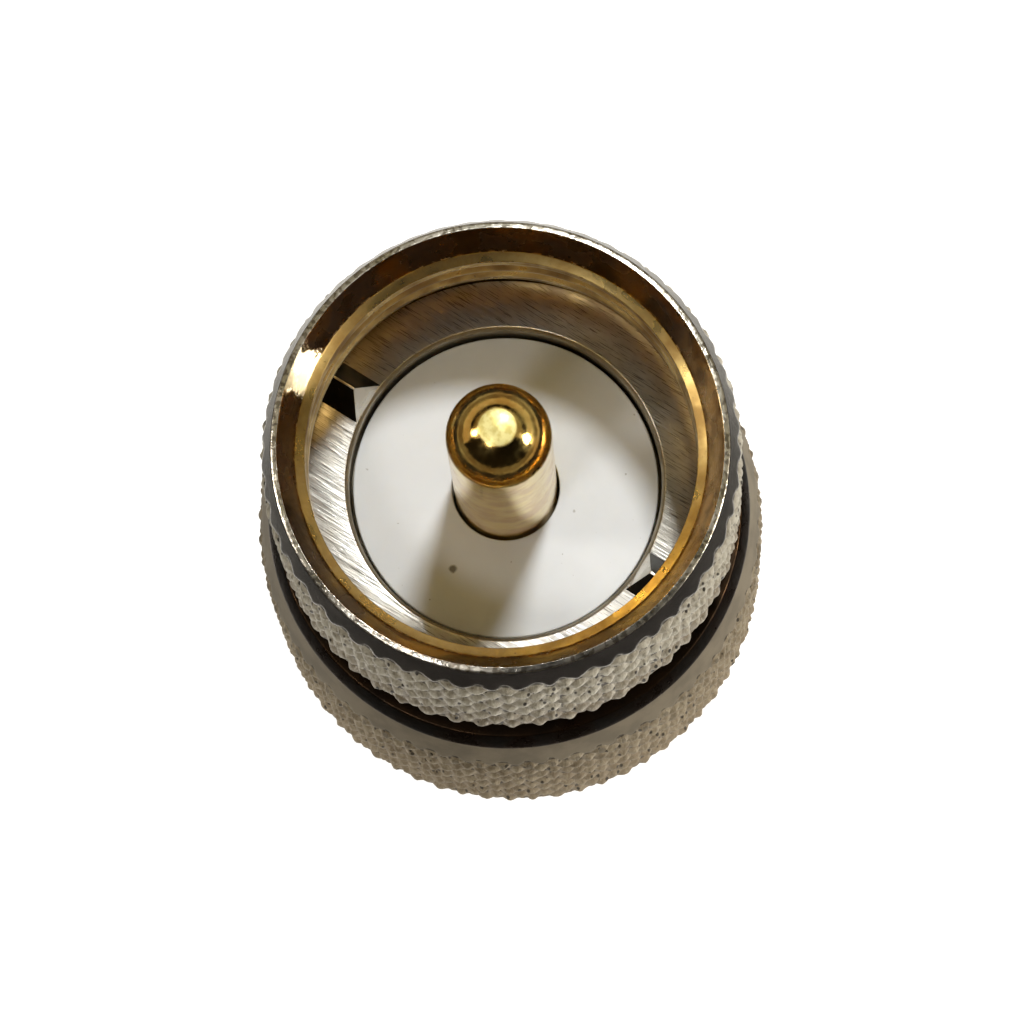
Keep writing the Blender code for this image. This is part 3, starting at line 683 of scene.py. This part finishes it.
# The UHF half of the shell: nickel plated brass, turned, with its face milled straight across so that two
# V-shaped teeth stand on it. They fit the notches of a socket. The milling left streaks along the teeth.
FLANGE_RADIUS = 0.00805
FLANGE_THICKNESS = 0.0011
FACE_INNER_RADIUS = 0.00622
BODY_BORE_RADIUS = 0.00608
BODY_BORE_DEPTH = 0.0019
BODY_CORE_RADIUS = 0.0046
HUB_RADIUS = 0.0066
HUB_BACK = 0.02035
STUB_RADIUS = 0.0058
FACE_HEIGHT = 0.02385
TOOTH_HALF = 0.00088
TOOTH_HEIGHT = 0.0014
TOOTH_CREST = 0.00005
TOOTH_INNER_SLOPE = 0.00060
TEETH_ASIDE = -0.00018
FACE_NICKEL = (0.66, 0.63, 0.58)
FACE_EDGE = 0.00004
BORE_EDGE = 0.00016
STUB_LENGTH = 0.0042
MILLING_STRETCH = (0.045, 1.0, 0.30)
FACE_SHADE = (0.52, 0.48, 0.42)
STREAK = (0.05, 0.042, 0.034)
# Painted shade: a darker, warmer copy of the face's nickel for the recess round the insulator.
RECESS_PAINTED_SHADE = (0.44, 0.40, 0.32)
RECESS_SHADE = (0.30, 0.26, 0.19)
# Painted shade: the near black of the teeth's flanks and outer ends.
TOOTH_SIDE_SHADE = (0.012, 0.010, 0.008)


def milled_metal(name):
    """Nickel plate over straight milling streaks that run along X."""
    metal = new_material(name, FACE_NICKEL, 0.26, 1.0)
    shader = shader_of(metal)
    spot = spot_of(metal)
    streaks = stretched(metal, spot["point"], MILLING_STRETCH)
    fine = grain(metal, 27000.0, 3.0, streaks)
    wide = grain(metal, 5000.0, 2.0, streaks)
    cloud = grain(metal, 800.0, 4.0, spot["point"])
    plate = blended(metal, ramp(metal, cloud, 0.35, 0.68), FACE_NICKEL, FACE_SHADE)
    plate = blended(metal, ramp(metal, fine, 0.54, 0.66, 0.0, 0.70), plate, STREAK)
    feed(metal, shader.inputs["Base Color"], plate)
    feed(metal, shader.inputs["Roughness"], ramp(metal, cloud, 0.3, 0.7, 0.28, 0.38))
    raised(metal, (wide, 0.000012), (fine, 0.000006))
    return metal


body_outline = eased([
    (FLANGE_RADIUS, FACE_HEIGHT), (FLANGE_RADIUS, FACE_HEIGHT - FLANGE_THICKNESS),
    (HUB_RADIUS, FACE_HEIGHT - FLANGE_THICKNESS), (HUB_RADIUS, HUB_BACK), (STUB_RADIUS, HUB_BACK),
    (STUB_RADIUS, HUB_BACK - STUB_LENGTH), (BODY_CORE_RADIUS, HUB_BACK - STUB_LENGTH),
    (BODY_CORE_RADIUS, FACE_HEIGHT - BODY_BORE_DEPTH), (BODY_BORE_RADIUS, FACE_HEIGHT - BODY_BORE_DEPTH),
    (BODY_BORE_RADIUS, FACE_HEIGHT - BORE_EDGE), (FACE_INNER_RADIUS, FACE_HEIGHT)], FACE_EDGE)
recess_shade_metal = turned_metal("recess_painted_shade_nickel", RECESS_PAINTED_SHADE, RECESS_SHADE, 0.42)
# Of the 44 rows, the 13 from the core to the bore's edge are the recess, painted darker and warmer than the
# face, as shade.
body = turned_mesh("shell_face", *spread(body_outline, 256), [milled_metal("face_nickel"), recess_shade_metal],
                   [0] * 28 + [1] * 13 + [0] * 3)
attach(body, "shell")
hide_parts("uhf_body")


def make_tooth(name, side, light, dark):
    """One V ridge along X: outer end on the flange's edge, inner end sloped back, edges barely eased."""
    outer_x = math.sqrt(FLANGE_RADIUS ** 2 - (TOOTH_HALF - TEETH_ASIDE) ** 2) - 0.00008
    inner_x = FACE_INNER_RADIUS - 0.00006
    top = FACE_HEIGHT + TOOTH_HEIGHT
    foot = FACE_HEIGHT - 0.0002
    ends = ((inner_x, inner_x + TOOTH_INNER_SLOPE), (outer_x, outer_x))
    corners = []
    for base_x, crest_x in ends:
        low, high = TEETH_ASIDE - TOOTH_HALF, TEETH_ASIDE + TOOTH_HALF
        corners += [(side * base_x, low, foot), (side * base_x, low, FACE_HEIGHT),
                    (side * crest_x, TEETH_ASIDE - TOOTH_CREST, top),
                    (side * crest_x, TEETH_ASIDE + TOOTH_CREST, top),
                    (side * base_x, high, FACE_HEIGHT), (side * base_x, high, foot)]
    faces = [(5, 4, 3, 2, 1, 0), (6, 7, 8, 9, 10, 11)]
    faces += [(i, (i + 1) % 6, 6 + (i + 1) % 6, 6 + i) for i in range(6)]
    if side < 0:
        faces = [tuple(reversed(face)) for face in faces]
    tooth = new_piece(name, corners, faces, [light, dark])
    tooth.data.polygons.foreach_set("material_index", [0, 1, 0, 1, 0, 1, 0, 0])
    ease = tooth.modifiers.new("eased", "BEVEL")
    ease.width = FACE_EDGE
    ease.segments = 2
    ease.limit_method = "ANGLE"
    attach(tooth, "shell")
    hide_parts("uhf_body")


tooth_light = turned_metal("tooth_nickel", NICKEL, NICKEL_SHADE, 0.25)
# The teeth's flanks and outer ends take this near black, painted as shade.
tooth_dark = turned_metal("tooth_side_painted_shade", TOOTH_SIDE_SHADE, TOOTH_SIDE_SHADE, 0.35)
shader_of(tooth_dark).inputs["Metallic"].default_value = 0.3
shader_of(tooth_dark).inputs["Specular IOR Level"].default_value = 0.15
make_tooth("tooth_east", 1, tooth_light, tooth_dark)
make_tooth("tooth_west", -1, tooth_light, tooth_dark)

# The UHF insulator: a white fluoropolymer disc with a stem, turned, and pressed into the shell's bore. It
# is waxy and slightly see-through, with faint tool rings, a few dark specks and a small nick in its face.
DISC_FACE = 0.02305
DISC_RADIUS = 0.00594
DISC_HOLE = 0.00210
DISC_WHITE = (0.85, 0.865, 0.885)
NICK_SPOT = (0.0, -0.00382)
NICK_RAGGED = 0.00016
NICK_EDGE, NICK_CORE = 0.00028, 0.00016
NICK_DIRT = (0.15, 0.13, 0.09)
DISC_SPECK = (0.34, 0.32, 0.28)
SEAT_GAP = 0.00005
STEM_HOLE = 0.00157
PIN_HOLE_SPARE = 0.0002
DISC_EDGE = 0.00007


def fluoropolymer(name, nick=None):
    """White fluoropolymer off the lathe, with a ragged dirty nick at that X and Y, if any."""
    white = new_material(name, DISC_WHITE, 0.42, 0.0)
    shader = shader_of(white)
    shader.inputs["Subsurface Weight"].default_value = 0.25
    shader.inputs["Subsurface Radius"].default_value = (0.0008, 0.0007, 0.0006)
    shader.inputs["Subsurface Scale"].default_value = 0.6
    shader.inputs["Specular IOR Level"].default_value = 0.35
    spot = spot_of(white)
    cloud = grain(white, 500.0, 4.0, spot["point"])
    speck = grain(white, 4200.0, 1.0, spot["point"])
    rings = grain(white, 9000.0, 2.0, way=spot["profile"])
    tone = blended(white, ramp(white, cloud, 0.3, 0.7), DISC_WHITE,
                   tuple(part * 0.96 for part in DISC_WHITE))
    tone = blended(white, ramp(white, speck, 0.78, 0.82, 0.0, 0.5), tone, DISC_SPECK)
    if nick:
        away = span(white, reckon(white, "SUBTRACT", spot["x"], nick[0]),
                    reckon(white, "SUBTRACT", spot["y"], nick[1]))
        torn = grain(white, 5000.0, 3.0, spot["point"])
        ragged = reckon(white, "MULTIPLY_ADD", torn, NICK_RAGGED, away)
        tone = blended(white, ramp(white, ragged, NICK_EDGE, NICK_CORE, 0.0, 0.85), tone, NICK_DIRT)
    feed(white, shader.inputs["Base Color"], tone)
    feed(white, shader.inputs["Roughness"], ramp(white, cloud, 0.3, 0.7, 0.36, 0.48))
    raised(white, (rings, 0.0000010), (cloud, 0.000006))
    return white


stem_radius = BODY_CORE_RADIUS - SEAT_GAP
disc_back = FACE_HEIGHT - BODY_BORE_DEPTH + SEAT_GAP
stem_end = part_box("uhf_insulator")[0][2]
pin_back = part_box("uhf_pin")[0][2]
disc_outline = eased([
    (DISC_RADIUS, DISC_FACE), (DISC_RADIUS, disc_back), (stem_radius, disc_back), (stem_radius, stem_end),
    (STEM_HOLE, stem_end), (STEM_HOLE, pin_back - PIN_HOLE_SPARE), (DISC_HOLE, pin_back - PIN_HOLE_SPARE),
    (DISC_HOLE, DISC_FACE)], DISC_EDGE)
disc = turned("uhf_disc", disc_outline, fluoropolymer("uhf_ptfe", NICK_SPOT))
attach(disc, "shell")
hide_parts("uhf_insulator")

# The UHF centre pin: 4 mm brass rod with a full round tip, gold plated and polished, with fine tool rings
# and a tip worn matt by use. It stands in the insulator's hole and takes the N pin's stem behind.
UHF_PIN_RADIUS = 0.00200
PIN_EDGE = 0.00006
PIN_SOCKET_RADIUS = 0.00090
PIN_SOCKET_DEPTH = 0.0030
AXIS = 0.000004
WORN_TIP = 0.00072
GOLD = (0.91, 0.69, 0.24)
GOLD_SHADE = (0.66, 0.40, 0.11)
WORN_GOLD = (0.92, 0.82, 0.36)
WORN_SHADE = (0.72, 0.60, 0.20)


def gold_plate(name, worn_tip=None):
    """Gold over polished brass, matt inside the radius of a tip worn by use."""
    gold = new_material(name, GOLD, 0.10, 1.0)
    shader = shader_of(gold)
    spot = spot_of(gold)
    cloud = grain(gold, 900.0, 4.0, spot["point"])
    scuff = grain(gold, 2400.0, 4.0, spot["point"])
    rings = grain(gold, 14000.0, 1.0, way=spot["profile"])
    plate = blended(gold, ramp(gold, cloud, 0.36, 0.66), GOLD, GOLD_SHADE)
    polish = ramp(gold, scuff, 0.40, 0.68, 0.09, 0.20)
    if worn_tip:
        edge = reckon(gold, "MULTIPLY_ADD", reckon(gold, "SUBTRACT", scuff, 0.5), 0.00012, spot["radius"])
        worn = ramp(gold, edge, worn_tip * 1.12, worn_tip * 0.88)
        mottle = ramp(gold, grain(gold, 3000.0, 3.0, spot["point"]), 0.40, 0.62)
        plate = blended(gold, worn, plate, blended(gold, mottle, WORN_GOLD, WORN_SHADE))
        polish = reckon(gold, "MULTIPLY_ADD", worn, 0.24, polish)
        feed(gold, shader.inputs["Metallic"], ramp(gold, worn, 0.0, 1.0, 1.0, 0.45))
    feed(gold, shader.inputs["Base Color"], plate)
    feed(gold, shader.inputs["Roughness"], polish)
    raised(gold, (scuff, 0.000012), (rings, 0.0000004))
    return gold


def round_tip(radius, tip, reach, steps):
    """Quarter of an ellipse from the tip on the axis down to the full radius."""
    quarter = [0.0, 0.006] + [math.pi / 2 * i / steps for i in range(1, steps + 1)]
    return [(max(radius * math.sin(angle), AXIS), tip - reach * (1.0 - math.cos(angle)))
            for angle in quarter]


pin_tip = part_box("uhf_pin")[1][2]
socket_top = pin_back + PIN_SOCKET_DEPTH
pin_outline = (round_tip(UHF_PIN_RADIUS, pin_tip, UHF_PIN_RADIUS, 24)
               + run((UHF_PIN_RADIUS, pin_tip - 0.0022), (UHF_PIN_RADIUS, pin_back), 8)
               + [(UHF_PIN_RADIUS, pin_back + PIN_EDGE), (UHF_PIN_RADIUS - PIN_EDGE, pin_back),
                  (PIN_SOCKET_RADIUS + PIN_EDGE, pin_back), (PIN_SOCKET_RADIUS, pin_back + PIN_EDGE),
                  (PIN_SOCKET_RADIUS, socket_top), (AXIS, socket_top)])
pin = turned("uhf_centre_pin", pin_outline, gold_plate("uhf_gold", WORN_TIP), 128)
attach(pin, "shell")
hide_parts("uhf_pin")

# The N plug's coupling nut: turned brass, nickel plated, finely knurled outside, threaded 5/8-24 at its
# mouth. A wire snap ring in its inner groove holds it on the shank, so that it turns freely.
NUT_TEETH = 64
NUT_SAMPLES = 9
NUT_KNURL_DEPTH = 0.00022
NUT_MOUTH_RADIUS = 0.0090
NUT_MOUTH_LENGTH = 0.0060
NUT_KNURL_LENGTH = 0.0089
NUT_SHOULDER_RADIUS = 0.00954
NUT_SHOULDER_DROP = 0.00075
NUT_THREAD_RADIUS = 0.0076
NUT_THREAD_LENGTH = 0.0072
NUT_RELIEF_RADIUS = 0.0081
NUT_BACK_HOLE = 0.00755
NUT_INNER_STEP = 0.0110
NUT_THREAD_DEPTH = 0.00042
NUT_THREAD_ROWS = 50
NUT_BAND = 0.0012
NUT_EDGE_ROW, NUT_KNURL_ROW, NUT_FOOT_ROW = 0.00008, 0.00017, 0.00016
NUT_BACK_CORNER = 0.00034
NUT_MOUTH_CORNER = 0.00035
NUT_HOLE_EDGE = 0.0001
NUT_SEED = 6
BAND_NICKEL = (0.235, 0.20, 0.15)
NUT_GLANCE = (0.60, 0.53, 0.42)
NUT_NICKEL = (0.40, 0.345, 0.26)
NUT_SHADE = (0.21, 0.165, 0.11)

nut_low, nut_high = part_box("n_coupling_nut")
nut_crest = (nut_high[0] - nut_low[0]) / 2
nut_back = nut_high[2]
nut_knurl_low = NUT_MOUTH_LENGTH + nut_crest - NUT_MOUTH_RADIUS
nut_knurl_high = nut_knurl_low + NUT_KNURL_LENGTH
nut_columns = NUT_TEETH * NUT_SAMPLES
nut_angles = np.arange(nut_columns)[None, :] * math.tau / nut_columns
nut_shoulder = nut_back - NUT_SHOULDER_DROP
nut_taper = (nut_crest - NUT_SHOULDER_RADIUS) / (nut_shoulder - nut_knurl_high)
band_end = nut_knurl_high + NUT_BAND
knurl_rows = np.concatenate([np.arange(band_end, nut_knurl_high - NUT_BAND, -NUT_EDGE_ROW),
                             np.arange(nut_knurl_high - NUT_BAND, nut_knurl_low, -NUT_KNURL_ROW),
                             np.arange(nut_knurl_low, NUT_MOUTH_LENGTH, -NUT_FOOT_ROW)])
nut_heights = knurl_rows[:, None] + 0 * nut_angles
back_line = NUT_SHOULDER_RADIUS + (nut_shoulder - nut_heights) * nut_taper
mouth_line = NUT_MOUTH_RADIUS + (nut_heights - NUT_MOUTH_LENGTH)
nut_loss = knurl_loss(nut_angles, nut_heights, NUT_TEETH, nut_crest, nut_knurl_high)
nut_grooves = nut_crest - NUT_KNURL_DEPTH * nut_loss
cone_line = np.minimum(back_line, mouth_line)
nut_radii = crinkled(np.minimum(cone_line, nut_grooves), (nut_grooves < cone_line), NUT_SEED)
band_start = (NUT_SHOULDER_RADIUS + (nut_shoulder - band_end) * nut_taper, band_end)
top_rows = eased([(NUT_BACK_HOLE, nut_back), (NUT_SHOULDER_RADIUS - NUT_BACK_CORNER, nut_back),
                  (NUT_SHOULDER_RADIUS, nut_shoulder), band_start], 0.00006)
top_rows = top_rows[4:-4] + run((NUT_SHOULDER_RADIUS + 0.0003 * nut_taper, nut_shoulder - 0.0003),
                                band_start, 3)
foot_rows = eased([(NUT_MOUTH_RADIUS, NUT_MOUTH_LENGTH), (NUT_MOUTH_RADIUS, NUT_MOUTH_CORNER),
                   (NUT_MOUTH_RADIUS - NUT_MOUTH_CORNER, 0.0), (NUT_RELIEF_RADIUS, 0.0),
                   (NUT_THREAD_RADIUS, NUT_RELIEF_RADIUS - NUT_THREAD_RADIUS)], 0.00008)
foot_rows = [(NUT_MOUTH_RADIUS, NUT_MOUTH_LENGTH)] + foot_rows[4:-4]
nut_thread_start = NUT_RELIEF_RADIUS - NUT_THREAD_RADIUS
nut_thread_end = nut_thread_start + NUT_THREAD_LENGTH
nut_thread_heights = np.linspace(nut_thread_start, nut_thread_end, NUT_THREAD_ROWS)
nut_thread_heights = nut_thread_heights[:, None] + 0 * nut_angles
nut_cut = thread_loss(nut_angles, nut_thread_heights, nut_thread_end, nut_thread_start)
nut_thread_radii = NUT_THREAD_RADIUS + NUT_THREAD_DEPTH * nut_cut
inner_rows = (run((NUT_RELIEF_RADIUS, nut_thread_end), (NUT_RELIEF_RADIUS, NUT_INNER_STEP), 3)
              + run((NUT_RELIEF_RADIUS, NUT_INNER_STEP), (NUT_BACK_HOLE, NUT_INNER_STEP), 2)
              + run((NUT_BACK_HOLE, NUT_INNER_STEP), (NUT_BACK_HOLE, nut_back - NUT_HOLE_EDGE), 4)
              + [(NUT_BACK_HOLE, nut_back - NUT_HOLE_EDGE), (NUT_BACK_HOLE + NUT_HOLE_EDGE, nut_back)])
top, foot, inner = [spread(rows, nut_columns) for rows in (top_rows, foot_rows, inner_rows)]
nut_outside = knurled_metal("nut_nickel", NUT_NICKEL, NUT_SHADE, nut_crest, NUT_KNURL_DEPTH,
                            (NUT_SHOULDER_RADIUS, nut_shoulder, -nut_taper),
                            (NUT_MOUTH_RADIUS, NUT_MOUTH_LENGTH, 1.0), NUT_MOUTH_LENGTH, nut_knurl_high,
                            BAND_NICKEL, 0.30, 0.50)
shader_of(nut_outside).inputs["Specular Tint"].default_value = (*NUT_GLANCE, 1.0)
nut_bore = turned_metal("nut_bore_nickel", NICKEL, NICKEL_SHADE, 0.28)
# Row by row: the back, painted near black as shade, the outside, the bore, and the edge of the back's hole,
# painted near black as shade too.
nut = turned_mesh("coupling_nut",
                  np.concatenate([top[0], nut_radii, foot[0], nut_thread_radii, inner[0]]),
                  np.concatenate([top[1], nut_heights, foot[1], nut_thread_heights, inner[1]]),
                  [nut_outside, nut_bore, groove_shade_metal],
                  [2] * 7 + [0] * (len(top_rows) - 7 + len(knurl_rows) + len(foot_rows))
                  + [1] * (len(nut_thread_heights) + len(inner_rows) - 4) + [2] * 4)
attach(nut, "n_nut")
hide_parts("n_coupling_nut")

# The N half of the shell: turned brass, nickel plated. Its barrel shows in the gap between ring and nut,
# its shank carries the nut, and its front is the seat for the seal ring, with a boss and the pocket.
SHANK_RADIUS = 0.0073
BARREL_RADIUS = 0.0079
SEAT_HEIGHT = 0.0106
BOSS_RADIUS = 0.0056
BOSS_HEIGHT = 0.0010
BARREL_BACK = 0.01925
SNAP_GROOVE_TOP, SNAP_GROOVE_END = 0.0155, 0.0141
SNAP_GROOVE_RADIUS = 0.00673
NOSE_HOLE = 0.00425
POCKET_FRONT, POCKET_RADIUS = 0.0120, 0.0052
STUB_HOLE_START, STUB_HOLE = 0.0159, 0.00605
SHELL_EDGE = 0.00010
barrel_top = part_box("n_body")[1][2]
shank_outline = eased([
    (BARREL_RADIUS, barrel_top), (BARREL_RADIUS, BARREL_BACK), (SHANK_RADIUS, BARREL_BACK),
    (SHANK_RADIUS, SNAP_GROOVE_TOP), (SNAP_GROOVE_RADIUS, SNAP_GROOVE_TOP),
    (SNAP_GROOVE_RADIUS, SNAP_GROOVE_END), (SHANK_RADIUS, SNAP_GROOVE_END), (SHANK_RADIUS, SEAT_HEIGHT),
    (BOSS_RADIUS, SEAT_HEIGHT), (BOSS_RADIUS, SEAT_HEIGHT - BOSS_HEIGHT),
    (NOSE_HOLE, SEAT_HEIGHT - BOSS_HEIGHT), (NOSE_HOLE, POCKET_FRONT), (POCKET_RADIUS, POCKET_FRONT),
    (POCKET_RADIUS, STUB_HOLE_START), (STUB_HOLE, STUB_HOLE_START), (STUB_HOLE, barrel_top)], SHELL_EDGE)
shank = turned("n_shank", shank_outline, turned_metal("n_body_nickel", NICKEL, NICKEL_SHADE, 0.28))
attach(shank, "shell")
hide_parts("n_body")

# The N plug's outer contact: a thin sleeve of hard brass, smooth nickel plated, with four saw cuts that
# leave four springy fingers, and a foot that the shell's pocket holds.
SLEEVE_RADIUS = 0.0040
SLEEVE_BORE = 0.0035
SLEEVE_RIM = 0.0016
SLOT_END = 0.0084
SLOT_WIDTH = 0.0005
FOOT_RADIUS = 0.00495
FOOT_FRONT = 0.01225
FOOT_BACK = 0.01325
FINGERS = 4


def swept(name, outline, start, end, steps, material):
    """A closed outline of (radius, height) swept from one angle to another, with both ends closed."""
    count = len(outline)
    corners, faces = [], []
    for step in range(steps + 1):
        angle = start + (end - start) * step / steps
        corners += [(radius * math.cos(angle), radius * math.sin(angle), height)
                    for radius, height in outline]
    for step in range(steps):
        for i in range(count):
            j = (i + 1) % count
            here, onward = step * count, (step + 1) * count
            faces.append((here + i, here + j, onward + j, onward + i))
    faces += [tuple(reversed(range(count))), tuple(steps * count + i for i in range(count))]
    piece = new_piece(name, corners, faces, [material])
    piece.data.shade_smooth()
    piece.data.set_sharp_from_angle(angle=math.radians(50.0))
    return piece


contact_metal = turned_metal("contact_nickel", NICKEL, NICKEL_SHADE, 0.20)
finger_outline = eased([(SLEEVE_RADIUS, SLOT_END), (SLEEVE_RADIUS - 0.00003, SLEEVE_RIM + 0.0004),
                        (SLEEVE_RADIUS - 0.00016, SLEEVE_RIM), (SLEEVE_BORE + 0.00004, SLEEVE_RIM),
                        (SLEEVE_BORE, SLOT_END)], 0.00008)
sleeve_outline = eased([(FOOT_RADIUS, FOOT_BACK), (FOOT_RADIUS, FOOT_FRONT), (SLEEVE_RADIUS, FOOT_FRONT),
                        (SLEEVE_RADIUS, SLOT_END), (SLEEVE_BORE, SLOT_END),
                        (SLEEVE_BORE, FOOT_BACK)], 0.00004)
contact_pieces = [turned("contact_sleeve", sleeve_outline, contact_metal, 128)]
for number in range(FINGERS):
    middle = math.tau * number / FINGERS
    half = math.pi / FINGERS - SLOT_WIDTH / 2 / SLEEVE_RADIUS
    finger = swept(f"contact_finger_{number + 1}", finger_outline, middle - half, middle + half, 24,
                   contact_metal)
    contact_pieces.append(finger)
for piece in contact_pieces:
    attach(piece, "shell")
    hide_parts("n_outer_contact")

# The snap ring: an open ring of round bronze spring wire, sprung into the grooves of the shank and the nut.
WIRE_RADIUS = 0.00045
WIRE_CENTRE = 0.007425
WIRE_HEIGHT = 0.0148
WIRE_SIDES = 12
WIRE_START, WIRE_END = math.radians(18.0), math.radians(342.0)
BRONZE = (0.50, 0.30, 0.16)
BRONZE_SHADE = (0.36, 0.20, 0.10)
wire_outline = [(WIRE_CENTRE + WIRE_RADIUS * math.cos(math.tau * i / WIRE_SIDES),
                 WIRE_HEIGHT - WIRE_RADIUS * math.sin(math.tau * i / WIRE_SIDES))
                for i in range(WIRE_SIDES)]
wire = swept("snap_wire", wire_outline, WIRE_START, WIRE_END, 96,
             turned_metal("snap_bronze", BRONZE, BRONZE_SHADE, 0.30))
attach(wire, "shell")
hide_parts("n_snap_ring")

# The seal ring: moulded silicone rubber, dull red with a slight bloom, pushed over the boss at the seat.
GASKET_HOLE = 0.00585
GASKET_EDGE = 0.00025
RUBBER_RED = (0.36, 0.045, 0.025)
RUBBER_BLOOM = (0.46, 0.13, 0.09)
gasket_low, gasket_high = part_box("n_gasket")
gasket_outline = eased([(gasket_high[0], gasket_high[2]), (gasket_high[0], gasket_low[2]),
                        (GASKET_HOLE, gasket_low[2]), (GASKET_HOLE, gasket_high[2])], GASKET_EDGE, 5)
rubber = new_material("silicone", RUBBER_RED, 0.55, 0.0)
rubber_spot = spot_of(rubber)
bloom = grain(rubber, 1500.0, 5.0, rubber_spot["point"])
rubber_shader = shader_of(rubber)
feed(rubber, rubber_shader.inputs["Base Color"],
     blended(rubber, ramp(rubber, bloom, 0.42, 0.75), RUBBER_RED, RUBBER_BLOOM))
feed(rubber, rubber_shader.inputs["Roughness"], ramp(rubber, bloom, 0.3, 0.7, 0.46, 0.66))
raised(rubber, (grain(rubber, 7000.0, 3.0, rubber_spot["point"]), 0.000006))
gasket = turned("seal_ring", gasket_outline, rubber)
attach(gasket, "shell")
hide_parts("n_gasket")

# The N insulator: a white fluoropolymer bead, its nose in the outer contact and its head behind the foot.
BEAD_HEAD_RADIUS = 0.00495
BEAD_HEAD_FRONT = 0.01335
BEAD_NOSE_RADIUS = 0.00345
bead_low, bead_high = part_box("n_insulator")
bead_outline = eased([(BEAD_HEAD_RADIUS, bead_high[2]), (BEAD_HEAD_RADIUS, BEAD_HEAD_FRONT),
                      (BEAD_NOSE_RADIUS, BEAD_HEAD_FRONT), (BEAD_NOSE_RADIUS, bead_low[2]),
                      (STEM_HOLE, bead_low[2]), (STEM_HOLE, bead_high[2])], 0.00008)
bead = turned("n_bead", bead_outline, fluoropolymer("n_ptfe"), 128)
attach(bead, "shell")
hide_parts("n_insulator")

# The N centre pin: gold plated brass, 1.6 mm with a blunt taper, on a 3 mm body with a stem behind it that
# is soldered into the UHF pin.
N_STEM_RADIUS = 0.00075
N_BODY_RADIUS = 0.00152
N_BODY_GAP = 0.00025
N_PIN_RADIUS = 0.0008
N_PIN_LENGTH = 0.0043
N_TAPER_LENGTH = 0.0009
N_TIP_RADIUS = 0.00030
n_pin_low, n_pin_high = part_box("n_pin")
n_tip = n_pin_low[2]
n_step = n_tip + N_PIN_LENGTH
n_body_top = pin_back - N_BODY_GAP
n_pin_outline = eased([(N_STEM_RADIUS, n_pin_high[2]), (N_STEM_RADIUS, n_body_top),
                       (N_BODY_RADIUS, n_body_top), (N_BODY_RADIUS, n_step), (N_PIN_RADIUS, n_step),
                       (N_PIN_RADIUS, n_tip + N_TAPER_LENGTH), (N_TIP_RADIUS, n_tip),
                       (AXIS, n_tip), (AXIS, n_pin_high[2])], 0.00008)
n_pin = turned("n_centre_pin", n_pin_outline, gold_plate("n_gold"), 96)
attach(n_pin, "shell")
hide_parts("n_pin")
